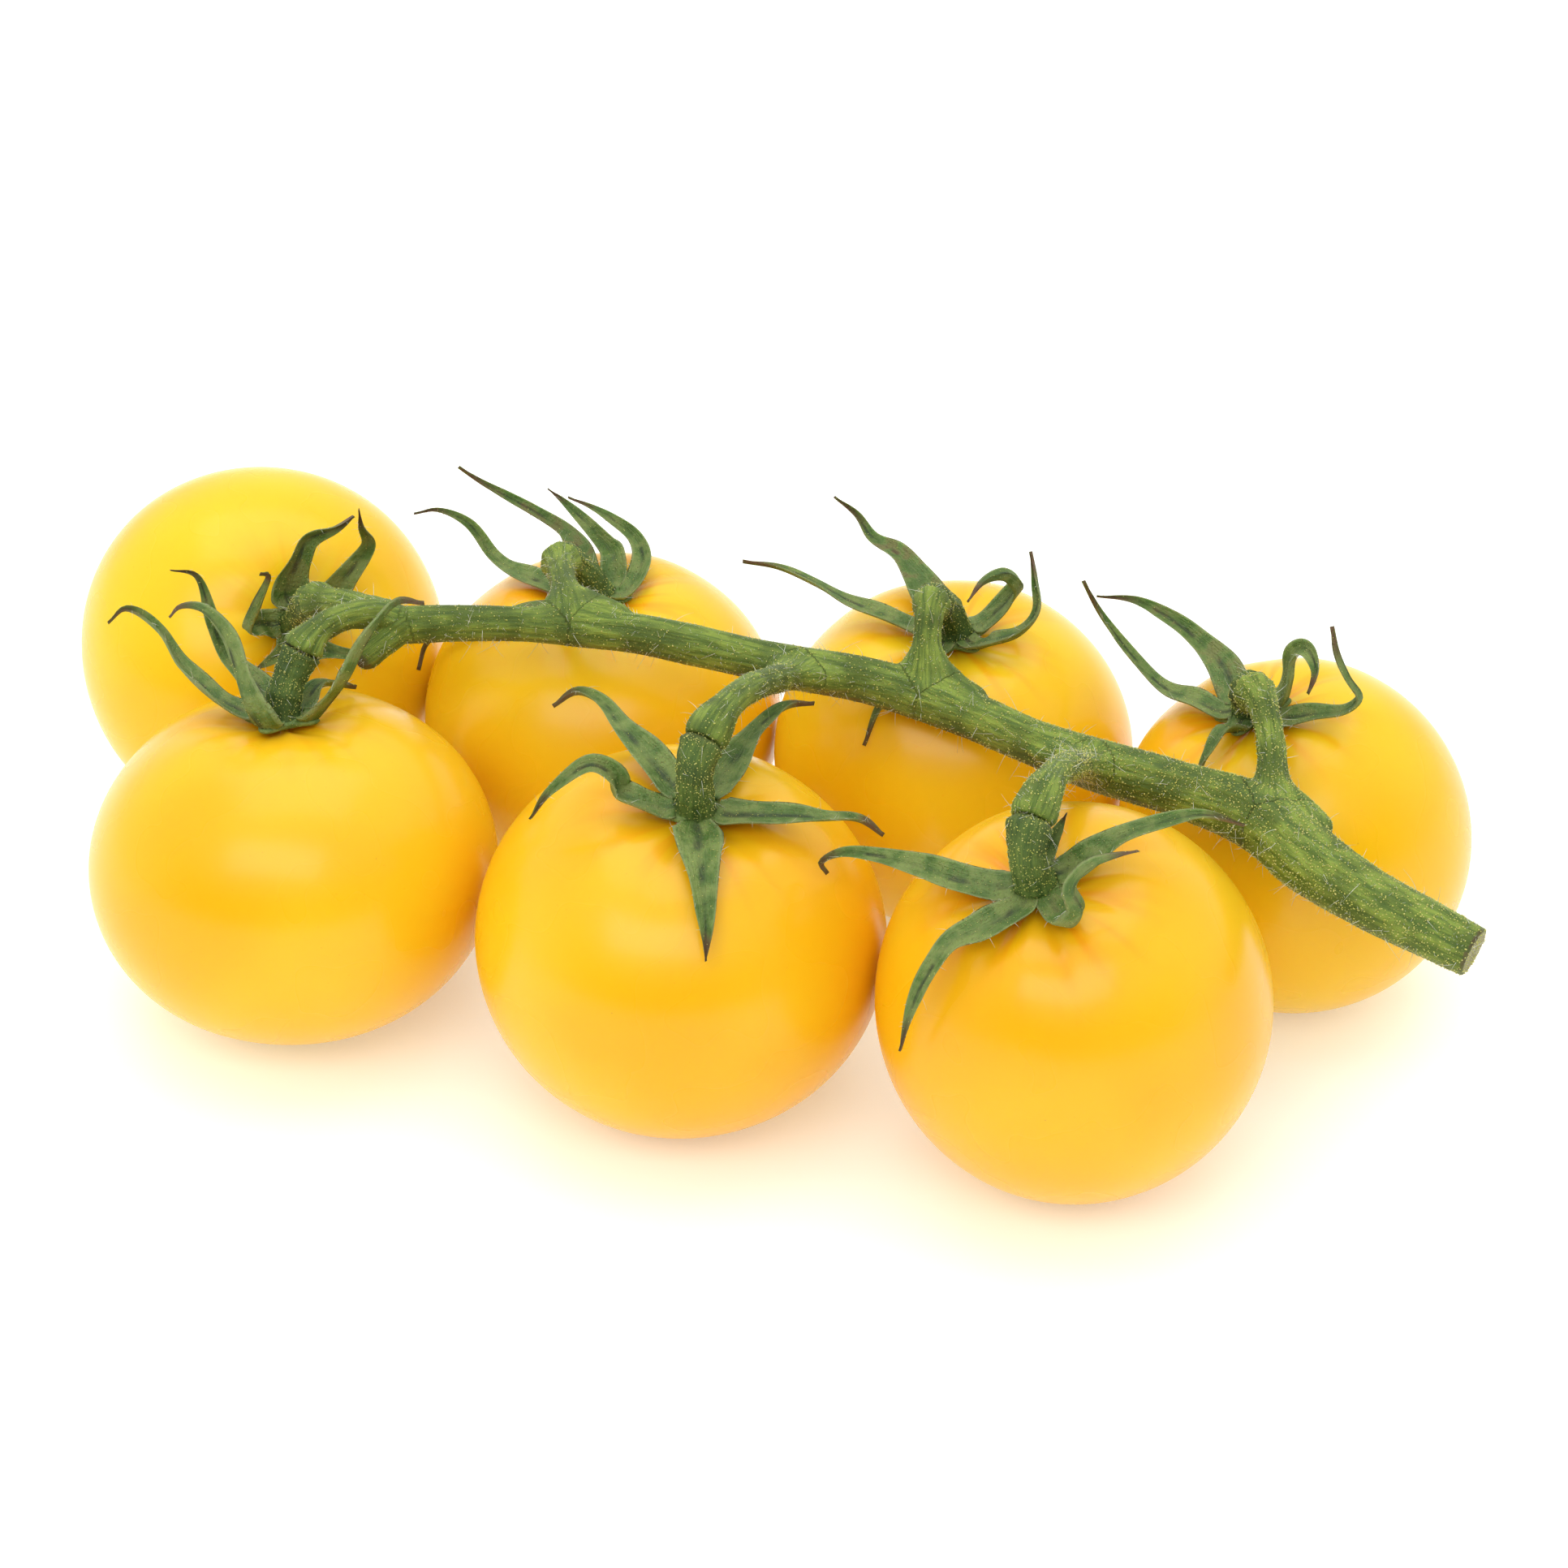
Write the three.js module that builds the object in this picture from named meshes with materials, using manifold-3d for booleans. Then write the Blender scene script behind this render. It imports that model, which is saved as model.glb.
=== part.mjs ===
// A truss of seven yellow cherry tomatoes, still joined to the piece of vine it was cut with, lying on
// a flat surface. Millimetres, +Z up, +X along the vine from its branching end to its cut end.
// Each fruit rests on a small flat spot, and carries a lower pedicel and a star of sepals. The main
// stem, the seven upper pedicels down to their knuckles and a pruned stub grew as one piece.
import * as THREE from 'three';
import { mergeVertices } from 'three/addons/utils/BufferGeometryUtils.js';
import Module from 'manifold-3d';

// Overall sizes
const TRUSS_SCALE = 1; // whole truss, uniformly
const FRUIT_SCALE = 1; // the fruits, and with them the room that the vine and sepals take around them
// Clearances
const GAP = 0.3; // between pieces that touch
const DIMPLE_GAP = 0.4; // between a pedicel's foot and the hollow it stands in
const FRUIT_GAP = 0.4; // between neighbouring fruits
const STEM_GAP = 0.8; // least air between the vine and a fruit
const SEPAL_GAP = 0.5; // least air between a sepal's middle line and a fruit
const BARK_GAP = 1.3; // least air between a sepal's middle line and the vine's bark
// Fruit
const DIMPLE_SPREAD = 0.33; // reach of the hollow at the calyx, radians from the pole
const RIB_DEPTH = 0.02; // share of the radius taken by the grooves near the calyx
const RIB_SPREAD = 0.8; // reach of the grooves, radians from the pole
const FLAT_DEPTH = 0.35; // how far the resting spot is flattened
const FRUIT_SEGMENTS = 26;
// Vine
const STEM_THICKNESS = 1; // factor on the main stem's radii
const STEM_SIDES = 10;
const PEDICEL_RADIUS = 1.12; // upper pedicel, between the vine and the knuckle
const FLARE = 0.5; // how much thicker the pedicel is where it leaves the vine
const WEB = 4.2; // how much wider than that it is lengthwise along the vine
const FLARE_REACH = 2.3; // how far from the vine's middle line the flare and the web fade
const KNUCKLE_RADIUS = 1.78; // swollen ring where a ripe fruit breaks off
const KNUCKLE_REACH = 0.13; // share of the upper pedicel that swells
const LOWER_RADIUS = 1.45; // lower pedicel, between the knuckle and the calyx
const STUB_RADIUS = 1.15;
// Sepals
const SEPAL_THICKNESS = 0.6;
const SEPAL_WIDTH = 1; // factor on the sepals' widths
const SEPAL_LENGTH = 1; // factor on the sepals' reach
const SEPAL_TIP = 0.3; // half width at the tip
const SEPAL_SEAT = 0.9; // height of a sepal's root above the dimple's floor
const SEPAL_SPACING = 50; // degrees between the two nearest roots of one calyx
const SEPAL_STEPS = 9;

const SKIN = { color: 0xffb422, roughness: 0.3, metalness: 0 };
const STEM = { color: 0x6f8146, roughness: 0.75, metalness: 0 };
const LEAF = { color: 0x63803c, roughness: 0.8, metalness: 0 };

// Main stem from the branching end to the cut end: x, y, z and radius.
const MAIN_STEM = [
  [-32.0, 2.3, 29.8, 1.55], [-26.8, 2.3, 30.0, 1.45], [-21.5, 2.2, 30.0, 1.4], [-16.8, 1.6, 30.0, 1.55],
  [-12.2, 0.7, 30.0, 1.6], [-7.4, -0.7, 29.7, 1.75], [-2.8, -1.4, 28.9, 1.65], [1.2, -2.2, 28.4, 1.75],
  [6.2, -2.4, 27.5, 1.85], [10.8, -3.6, 26.7, 1.9], [15.2, -6.1, 26.2, 1.8], [19.6, -9.6, 26.0, 1.85],
  [24.2, -12.9, 26.0, 2.1], [30.6, -16.6, 26.0, 2.2], [36.8, -20.8, 25.8, 2.6], [40.0, -25.2, 25.0, 2.6],
  [44.3, -29.4, 24.1, 2.3], [48.7, -32.2, 23.1, 2.1], [51.6, -34.0, 22.4, 2.0],
];
// The pruned stub: the station it leaves from, then its bends from there.
const STUB_STATION = 0.27;
const STUB = [[-2, -1.3, -1], [-4.1, -2.1, -2.4]];

// One entry per fruit, in millimetres and degrees:
// at: centre on the surface; width and height: across and along its own axis; lean: elevation of that
// axis above the horizon (past 90 it leans back) and its turn from -Y towards +X; ribs: lobes; dimple:
// depth of the hollow in which the calyx sits.
// leaves: the station of the main stem its pedicel leaves from; start: how it sets out; knuckle: from the
// calyx to the knuckle; heading: the way the pedicel runs at the knuckle, with its easing lengths.
// sepals: width, then points of turn around the calyx, reach outward and rise above the calyx.
const TOMATOES = [
  {
    name: 'front_left', at: [-39.7, -8.6], width: 33, height: 28.2, lean: [99, 12], ribs: 5, dimple: 2.1,
    leaves: 0.08, start: [-2.6, 0.6, 1.9], knuckle: [1.6, 2.8, 5.4], heading: [-0.45, -0.4, -0.8],
    sepals: [
      [2.6, [172, 0], [170, 5, 2], [156, 9, 4], [155, 11, 6.8], [162, 13, 8.9], [168, 14, 8.2]],
      [2.6, [117, 0], [122, 5, 2], [128, 8.2, 3.6], [131, 9.2, 6.4], [135, 10, 10.5], [145, 10.8, 11.3]],
      [3.2, [-112, 0], [-132, 3.1, 2.6], [180, 3.8, 7.8], [172, 5.8, 9.9], [172, 7.6, 10], [175, 8.4, 9.3]],
      [2.6, [-16, 0], [-13, 4, 2.6], [-21, 6.2, 5.3], [-15, 7.3, 7.6], [-3, 8.2, 8.9], [7, 9.8, 9.9],
        [13, 12, 9.2]],
      [2.2, [50, 0], [56, 5, 1.1], [50, 8.4, 1.2]],
    ],
  },
  {
    name: 'front_middle', at: [-8, -20.4], width: 32.4, height: 29.2, lean: [79, 30], ribs: 5, dimple: 1.6,
    leaves: 7, start: [-1.4, -5.6, 1.5], knuckle: [0.8, -0.3, 7], heading: [-0.42, -0.68, -0.6],
    sepals: [
      [3.1, [128, 0], [129, 6, 1.5], [126, 10.2, 1.4], [124, 14, 1], [127, 16.2, 0.6], [133, 16.8, -0.4]],
      [2.9, [-172, 0], [-174, 4.6, 1.2], [180, 6, 1.8], [178, 6.5, 3.2], [178, 8.2, 4.2], [-175, 11, 2.4],
        [-173, 12.6, -0.1]],
      [3.8, [-86, 0], [-85, 6.2, 1.1], [-84, 10, -0.1], [-84, 13.3, -2.4]],
      [3.1, [-14, 0], [-9, 5.3, 1.4], [-5, 9.1, 1.6], [0, 12.6, 1.1], [-3, 14.6, 0.4]],
      [3.0, [60, 0], [61, 6, 1.4], [63, 10.6, 1.5], [61, 14.2, 1.6], [56, 16.3, 1]],
    ],
  },
  {
    name: 'front_right', at: [22, -30], width: 30.4, height: 31, lean: [68, -40], ribs: 7, dimple: 1.6,
    leaves: 12, start: [-1, -4.6, 1.6], knuckle: [-0.7, -0.6, 6.5], heading: [-0.32, -0.72, -0.6],
    sepals: [
      [2.8, [178, 0], [168, 5.8, 1.3], [160, 8.8, 1.4], [156, 12.4, 1.1], [156, 15.8, 0.7], [158, 17.6, -0.2],
        [158, 17.4, -1.4]],
      [2.7, [-122, 0], [-138, 5.5, 1.2], [-146, 7.8, 1.2], [-144, 9.9, 0.8], [-144, 12.3, -1.1],
        [-145, 14.8, -5.2]],
      [2.7, [12, 0], [8, 4.4, 1.7], [13, 7.4, 2.3], [13, 10.4, 2.2], [12, 13.4, 1.6], [8, 16, 0.4]],
      [2.4, [-62, 0], [-66, 5.2, 1.4], [-58, 6.2, 3.2], [-56, 5.6, 5.1], [-40, 5.8, 5.9], [-21, 7.4, 5.4],
        [-13, 8.4, 4.6]],
      [2.0, [70, 0], [56, 3.6, 2.2], [48, 4.8, 3.8]],
    ],
  },
  {
    name: 'right_end', at: [41.7, -4.9], width: 28.8, height: 29, lean: [71, -75], ribs: 7, dimple: 1.9,
    leaves: 14.05, start: [1.5, 3.2, 2.4], knuckle: [-0.8, -3.4, 4.3], heading: [-0.2, 0.85, -0.4],
    sepals: [
      [2.2, [172, 0], [159, 4.7, 1.1], [144, 8.1, 1.5], [136, 11.7, 2.5], [134, 14.6, 6.3], [133, 15.7, 9.4]],
      [2.8, [116, 0], [108, 5, 2.1], [111, 8.7, 2.9], [114, 11.5, 3.7], [120, 14.6, 5.2], [128, 16.8, 6.4]],
      [2.8, [0, 0], [1, 3.4, 2.6], [1, 4.2, 4.6], [-6, 5.2, 5.6], [-17, 6.1, 6], [-31, 6.9, 5.3],
        [-46, 7, 4.6]],
      [2.2, [-60, 0], [-37, 5.8, 1.1], [-30, 8.4, 1.4], [-28, 9.7, 2.6], [-28, 9.2, 4.5], [-21, 8.4, 6.2],
        [-11, 8.1, 7.7]],
      [2.1, [-124, 0], [-130, 4.1, 1], [-131, 6.5, 1.2], [-131, 8.1, 0.5]],
    ],
  },
  {
    name: 'back_right', at: [14.2, 8.2], width: 30.3, height: 28.6, lean: [81.5, -13], ribs: 6, dimple: 2.1,
    leaves: 9.1, start: [0.3, 2.4, 3.2], knuckle: [-1.9, -4.1, 5.7], heading: [0.2, 0.9, -0.35],
    sepals: [
      [2.2, [170, 0], [168, 5.4, 1.4], [157, 9, 1.5], [151, 12.9, 1.6], [149, 16.8, 1.6], [151, 19.8, 1.6]],
      [3, [115, 0], [118, 6, 2.6], [117, 9.7, 2.6], [120, 13, 2.5], [121, 14.9, 3.6], [125, 16.5, 5.1]],
      [2.5, [15, 0], [14, 4, 2.2], [10, 5.2, 3.9], [0, 5.5, 5.6], [-8, 4.4, 7.2], [-34, 3.2, 7.5],
        [-75, 3.6, 6.6]],
      [2.1, [-50, 0], [-46, 4.2, 1.8], [-28, 6, 2.8], [-15, 7.1, 4.3], [-1, 6.8, 6.1], [12, 6.6, 7.9]],
      [2.0, [-118, 0], [-125, 6.8, 1], [-127, 10.3, -0.2], [-127, 12.6, -2.7]],
    ],
  },
  {
    name: 'back_left', at: [-15.6, 15.9], width: 30.8, height: 27, lean: [87.5, -48], ribs: 6, dimple: 2.3,
    leaves: 2.9, start: [-0.2, 2.2, 2.2], knuckle: [-2.6, -2.1, 5.15], heading: [0.1, 0.93, -0.35],
    sepals: [
      [2.4, [170, 0], [155, 7.2, 0.8], [147, 10.7, 1.5], [147, 13.1, 4], [152, 15.3, 5.4], [157, 16.8, 5.5]],
      [2.4, [108, 0], [105, 6.6, 0.8], [108, 9.6, 1.9], [121, 11.1, 3.8], [136, 13.2, 6.7], [141, 14.9, 8.4]],
      [2.3, [52, 0], [66, 4, 1.2], [78, 5.2, 2.4], [95, 6.4, 3.9], [107, 9.2, 4.9], [112, 11.2, 5.4]],
      [2.1, [-8, 0], [38, 5.1, 1.5], [60, 6.8, 2.8], [80, 8, 3.6], [93, 9.6, 3.9], [103, 11.4, 4.1]],
      [2.0, [-115, 0], [-134, 5.2, 1.4], [-156, 8.7, 0.9], [-178, 13.5, -2.4], [175, 15.1, -4.6],
        [178, 15.7, -6.5]],
    ],
  },
  {
    name: 'left_end', at: [-45.6, 24.4], width: 31.9, height: 28, lean: [36.5, 25], ribs: 5, dimple: 1.6,
    leaves: 0.1, start: [-2.4, 2, 0.9], knuckle: [2.6, -6.1, 5.7], heading: [-0.5, 0.7, -0.5],
    sepals: [
      [3.2, [125, 0], [116, 3.8, 2.1], [107, 5.2, 3.2], [100, 6.7, 4], [85, 7.8, 5.3], [77, 9.4, 5.3]],
      [2.6, [42, 0], [57, 5.2, 2.8], [62, 8.2, 4.9], [73, 8.5, 7.1], [79, 9.2, 8.5]],
      [2.4, [-166, 0], [-164, 3.8, 2.2], [-160, 5.2, 3.7], [-178, 4.9, 5.5], [155, 5, 7.3], [160, 5.7, 8.1]],
      [2.2, [-52, 0], [-28, 4.2, 1.9], [-15, 6.5, 2.2]],
      [1.9, [-109, 0], [-114, 3.6, 1.8], [-123, 6, 2]],
    ],
  },
];

const wasm = await Module();
wasm.setup();

const UP = new THREE.Vector3(0, 0, 1);
const vec = (list) => new THREE.Vector3(...list);
const spread = (list) => vec(list).multiplyScalar(FRUIT_SCALE);
const rad = THREE.MathUtils.degToRad;

/** Keeps only positions, merges shared corners and drops triangles with no area. */
function weld(geometry) {
  geometry.deleteAttribute('normal');
  geometry.deleteAttribute('uv');
  const welded = mergeVertices(geometry, 1e-4);
  const corners = welded.index.array;
  const kept = [];
  for (let i = 0; i < corners.length; i += 3) {
    const [a, b, c] = corners.slice(i, i + 3);
    if (a !== b && b !== c && c !== a) kept.push(a, b, c);
  }
  welded.setIndex(kept);
  return welded;
}

function toSolid(geometry) {
  const vertProperties = new Float32Array(geometry.attributes.position.array);
  const triVerts = new Uint32Array(geometry.index.array);
  return new wasm.Manifold(new wasm.Mesh({ numProp: 3, vertProperties, triVerts }));
}

function toGeometry(solid) {
  const { vertProperties, triVerts } = solid.getMesh();
  const geometry = new THREE.BufferGeometry();
  geometry.setAttribute('position', new THREE.BufferAttribute(new Float32Array(vertProperties), 3));
  geometry.setIndex([...triVerts]);
  return geometry;
}

/** Points, tangents and side vectors along a curve, the side carried along without twisting. */
function carryFrames(curve, steps, firstSide) {
  const frames = [];
  let side = firstSide.clone();
  for (let i = 0; i <= steps; i += 1) {
    const tangent = curve.getTangentAt(i / steps).normalize();
    side = side.clone().addScaledVector(tangent, -side.dot(tangent)).normalize();
    frames.push({ point: curve.getPointAt(i / steps), side, normal: side.clone().cross(tangent) });
  }
  return frames;
}

/** A closed body along a curve: a cylinder whose rings are carried to the curve's stations. */
function sweep(curve, steps, sides, firstSide, halfSizes) {
  const body = new THREE.CylinderGeometry(1, 1, 1, sides, steps);
  const frames = carryFrames(curve, steps, firstSide);
  const corners = body.attributes.position;
  for (let i = 0; i < corners.count; i += 1) {
    const along = corners.getY(i) + 0.5;
    const frame = frames[Math.round(along * steps)];
    const [halfWidth, halfHeight] = halfSizes(along);
    const corner = frame.point.clone()
      .addScaledVector(frame.side, corners.getX(i) * halfWidth)
      .addScaledVector(frame.normal, corners.getZ(i) * halfHeight);
    corners.setXYZ(i, ...corner);
  }
  return weld(body);
}

/** A round tube along a curve whose radius follows radiusAt(share of its length). */
function tube(curve, steps, radiusAt) {
  const tangent = curve.getTangentAt(0);
  const side = new THREE.Vector3(-tangent.y, tangent.x, 0);
  if (side.length() < 0.1) side.set(1, 0, 0);
  return sweep(curve, steps, STEM_SIDES, side.normalize(), (along) => [radiusAt(along), radiusAt(along)]);
}

/** Half the room a fruit takes from its centre along a direction. */
function reachOf(fruit, direction) {
  const along = direction.dot(fruit.axis);
  const across = Math.sqrt(Math.max(0, 1 - along * along));
  return Math.hypot(fruit.radius * across, fruit.polar * along);
}

/** Air between a point and a fruit, measured as for a spheroid. */
function airTo(fruit, point) {
  const offset = point.clone().sub(fruit.centre);
  const distance = offset.length();
  const along = offset.normalize().dot(fruit.axis);
  const across = Math.sqrt(Math.max(0, 1 - along * along));
  return distance - 1 / Math.hypot(across / fruit.radius, along / fruit.polar);
}

/** Sets every fruit on the surface and pushes neighbours apart until FRUIT_GAP lies between them. */
function settleFruits() {
  const fruits = TOMATOES.map((row) => {
    const [elevation, turn] = row.lean.map(rad);
    const axis = new THREE.Vector3(
      Math.cos(elevation) * Math.sin(turn), -Math.cos(elevation) * Math.cos(turn), Math.sin(elevation),
    );
    const fruit = { ...row, axis, radius: row.width / 2 * FRUIT_SCALE, polar: row.height / 2 * FRUIT_SCALE };
    fruit.centre = spread([...row.at, 0]).setZ(reachOf(fruit, UP) - FLAT_DEPTH);
    fruit.turned = new THREE.Quaternion().setFromUnitVectors(UP, axis);
    return fruit;
  });
  for (let round = 0; round < 200; round += 1) {
    for (const [i, one] of fruits.entries()) {
      for (const other of fruits.slice(i + 1)) {
        const between = other.centre.clone().sub(one.centre);
        const distance = between.length();
        between.normalize();
        const short = reachOf(one, between) + reachOf(other, between) + FRUIT_GAP - distance;
        const push = between.setZ(0).normalize().multiplyScalar(Math.max(0, short) / 2);
        one.centre.sub(push);
        other.centre.add(push);
      }
    }
  }
  return fruits;
}

/** Height of the fruit's skin along its axis where the calyx sits. */
const calyxHeight = (fruit) => fruit.polar - fruit.dimple * FRUIT_SCALE;
const calyxOf = (fruit) => fruit.centre.clone().addScaledVector(fruit.axis, calyxHeight(fruit));
const knuckleOf = (fruit) => calyxOf(fruit).add(spread(fruit.knuckle));

/** The skin: a turned profile with a dimple at the calyx, shallow ribs around it and a flat rest. */
function fruitGeometry(fruit) {
  const profile = [];
  const rows = FRUIT_SEGMENTS / 2;
  for (let i = 0; i <= rows; i += 1) {
    const angle = Math.PI * (1 - i / rows);
    const out = i % rows === 0 ? 0 : fruit.radius * Math.sin(angle) ** 0.94;
    const dimple = fruit.dimple * FRUIT_SCALE * Math.exp(-((angle / DIMPLE_SPREAD) ** 2));
    profile.push(new THREE.Vector2(out, fruit.polar * Math.cos(angle) - dimple));
  }
  const skin = new THREE.LatheGeometry(profile, FRUIT_SEGMENTS).rotateX(Math.PI / 2);
  const corners = skin.attributes.position;
  for (let i = 0; i < corners.count; i += 1) {
    const [x, y, z] = [corners.getX(i), corners.getY(i), corners.getZ(i)];
    const fromPole = Math.atan2(Math.hypot(x, y), z);
    const wave = 0.5 - 0.5 * Math.cos(fruit.ribs * Math.atan2(y, x));
    const share = 1 - RIB_DEPTH * wave * Math.exp(-((fromPole / RIB_SPREAD) ** 2));
    corners.setXYZ(i, x * share, y * share, z * share);
  }
  skin.applyQuaternion(fruit.turned).translate(...fruit.centre);
  const floor = new THREE.BoxGeometry(400, 400, 40).translate(0, 0, -20);
  return toGeometry(toSolid(weld(skin)).subtract(toSolid(weld(floor))));
}

/** Lifts a point of the vine where a fruit would come nearer to its bark than STEM_GAP. */
function clearOf(fruits, point, radius) {
  const lifted = point.clone();
  while (Math.min(...fruits.map((fruit) => airTo(fruit, lifted))) < radius + STEM_GAP) lifted.z += 0.1;
  return lifted;
}

/** The main stem's curve and its radius at a share of its length. */
function mainStem(fruits) {
  const radii = MAIN_STEM.map((station) => station[3] * STEM_THICKNESS);
  const points = MAIN_STEM.map((station, i) => clearOf(fruits, spread(station.slice(0, 3)), radii[i]));
  const curve = new THREE.CatmullRomCurve3(points, false, 'centripetal');
  const pointAt = (station) => curve.getPoint(station / (MAIN_STEM.length - 1));
  const radiusAt = (along) => {
    const place = curve.getUtoTmapping(along) * (MAIN_STEM.length - 1);
    const before = Math.min(Math.floor(place), radii.length - 2);
    return THREE.MathUtils.lerp(radii[before], radii[before + 1], place - before);
  };
  return { curve, pointAt, radiusAt, steps: 36 };
}

/** Every stretch of the vine: the main stem, the stub and the upper pedicels down to their knuckles. */
function vineStretches(fruits) {
  const main = mainStem(fruits);
  const stubFoot = main.pointAt(STUB_STATION);
  const stubPoints = [stubFoot, ...STUB.map((bend) => stubFoot.clone().add(spread(bend)))];
  const stub = { curve: new THREE.CatmullRomCurve3(stubPoints), radiusAt: () => STUB_RADIUS, steps: 4 };
  const pedicels = fruits.map((fruit) => upperPedicel(fruit, main));
  return [main, stub, ...pedicels];
}

/** The vine's stretches joined as one body. */
function vineGeometry(stretches) {
  const solids = stretches.map(({ curve, steps, radiusAt, webbed }) => toSolid(
    webbed ? sweep(curve, steps, STEM_SIDES, webbed.side, webbed.halfSizes) : tube(curve, steps, radiusAt),
  ));
  return toGeometry(solids.reduce((joined, solid) => joined.add(solid)));
}

function upperCurve(fruit, from) {
  const knuckle = knuckleOf(fruit);
  const heading = vec(fruit.heading).normalize();
  const end = knuckle.clone().addScaledVector(heading, -GAP / 2);
  const ease = from.distanceTo(knuckle) * 0.28;
  const setOut = from.clone().add(spread(fruit.start));
  return new THREE.CubicBezierCurve3(from, setOut, end.clone().addScaledVector(heading, -ease), end);
}

/** An upper pedicel, webbed to the vine where it leaves it. The two at the vine's end have no web. */
function upperPedicel(fruit, main) {
  const curve = upperCurve(fruit, main.pointAt(fruit.leaves));
  const length = curve.getLength();
  const fade = (along) => Math.exp(-((along * length / FLARE_REACH) ** 2));
  const radiusAt = (along) => {
    const swell = (KNUCKLE_RADIUS - PEDICEL_RADIUS) * Math.exp(-(((1 - along) / KNUCKLE_REACH) ** 2));
    return PEDICEL_RADIUS + FLARE * fade(along) + swell;
  };
  const web = fruit.leaves < 1 ? 0 : WEB - FLARE;
  const side = main.pointAt(fruit.leaves + 0.1).sub(main.pointAt(fruit.leaves)).normalize();
  const halfSizes = (along) => [radiusAt(along) + web * fade(along), radiusAt(along)];
  return { curve, radiusAt, steps: 14, webbed: { side, halfSizes } };
}

/** The short lower pedicel, from the knuckle down into the dimple. */
function pedicelGeometry(fruit) {
  const knuckle = knuckleOf(fruit);
  const heading = vec(fruit.heading).normalize();
  const top = knuckle.clone().addScaledVector(heading, GAP / 2);
  const foot = calyxOf(fruit).addScaledVector(fruit.axis, DIMPLE_GAP);
  const ease = top.distanceTo(foot) * 0.4;
  const curve = new THREE.CubicBezierCurve3(
    top, top.clone().addScaledVector(heading, ease), foot.clone().addScaledVector(fruit.axis, ease), foot,
  );
  return tube(curve, 6, (along) => {
    const swell = (KNUCKLE_RADIUS - LOWER_RADIUS) * Math.exp(-((along / 0.16) ** 2));
    return LOWER_RADIUS + swell;
  });
}

/** Moves a sepal's point off any fruit and out of the vine's way. */
function bentClear(point, fruits, bark) {
  const moved = point.clone();
  for (const { centre, radius } of bark) {
    const away = moved.clone().sub(centre);
    const short = radius + BARK_GAP - away.length();
    if (short > 0) moved.addScaledVector(away.normalize(), short);
  }
  while (Math.min(...fruits.map((fruit) => airTo(fruit, moved))) < SEPAL_GAP) moved.z += 0.05;
  return moved;
}

/** One sepal: a tapering blade through its chosen points, which are set out around its calyx. */
function sepalGeometry(fruit, [width, ...row], fruits, bark) {
  const root = LOWER_RADIUS + GAP + SEPAL_THICKNESS;
  const outward = (turn, out, height) => (
    new THREE.Vector3(Math.cos(rad(turn)) * out, Math.sin(rad(turn)) * out, calyxHeight(fruit) + height)
      .applyQuaternion(fruit.turned).add(fruit.centre)
  );
  const points = row.map(([turn, reach, rise], i) => {
    if (i === 0) return outward(turn, root, SEPAL_SEAT);
    const size = SEPAL_LENGTH * FRUIT_SCALE;
    return bentClear(outward(turn, Math.max(root, reach * size), rise * size), fruits, bark);
  });
  const blade = new THREE.CatmullRomCurve3(points, false, 'centripetal');
  const turn = rad(row[0][0]);
  const side = new THREE.Vector3(-Math.sin(turn), Math.cos(turn), 0).applyQuaternion(fruit.turned);
  const room = root * Math.sin(rad(SEPAL_SPACING) / 2) - GAP / 2;
  return sweep(blade, SEPAL_STEPS, 4, side, (along) => {
    const half = Math.max(SEPAL_TIP, SEPAL_WIDTH * width / 2 * (1 - along) ** 0.7);
    return [Math.min(half, room + along * 6), SEPAL_THICKNESS / 2];
  });
}

function piece(name, geometry, finish) {
  geometry.computeVertexNormals();
  const mesh = new THREE.Mesh(geometry, new THREE.MeshStandardMaterial(finish));
  mesh.name = name;
  return mesh;
}

function trussGroup() {
  const fruits = settleFruits();
  const stretches = vineStretches(fruits);
  const bark = stretches.flatMap(({ curve, steps, radiusAt }) => (
    curve.getSpacedPoints(steps * 2).map((centre, i) => ({ centre, radius: radiusAt(i / steps / 2) }))
  ));
  const truss = new THREE.Group();
  truss.add(piece('main_stem', vineGeometry(stretches), STEM));
  for (const fruit of fruits) {
    truss.add(piece(`tomato_${fruit.name}`, fruitGeometry(fruit), SKIN));
    truss.add(piece(`pedicel_${fruit.name}`, pedicelGeometry(fruit), STEM));
    fruit.sepals.forEach((row, i) => {
      truss.add(piece(`sepal_${fruit.name}_${i + 1}`, sepalGeometry(fruit, row, fruits, bark), LEAF));
    });
  }
  return truss;
}

/** The origin is the middle of the truss's outline on the surface it lies on. */
const truss = trussGroup();
const box = new THREE.Box3().setFromObject(truss, true);
truss.position.set(-(box.min.x + box.max.x) / 2, -(box.min.y + box.max.y) / 2, 0);
const part = new THREE.Group();
part.add(truss);
part.scale.setScalar(TRUSS_SCALE);

export default part;
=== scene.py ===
"""Looks of a truss of seven yellow cherry tomatoes on its cut vine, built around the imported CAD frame.

Shapes are worked out in millimetres on the table, as in the CAD part, and put into the frame's metres
by to_frame(). The vine is swept tubes fused by a voxel remesh; fruits, pedicels, calyx hubs and sepals
are lofted; glandular dots, hairs and fuzz are small closed meshes scattered with a fixed seed.
"""

import math
import random
from collections import namedtuple

import bmesh
import bpy
import numpy as np
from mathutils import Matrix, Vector, kdtree


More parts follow.
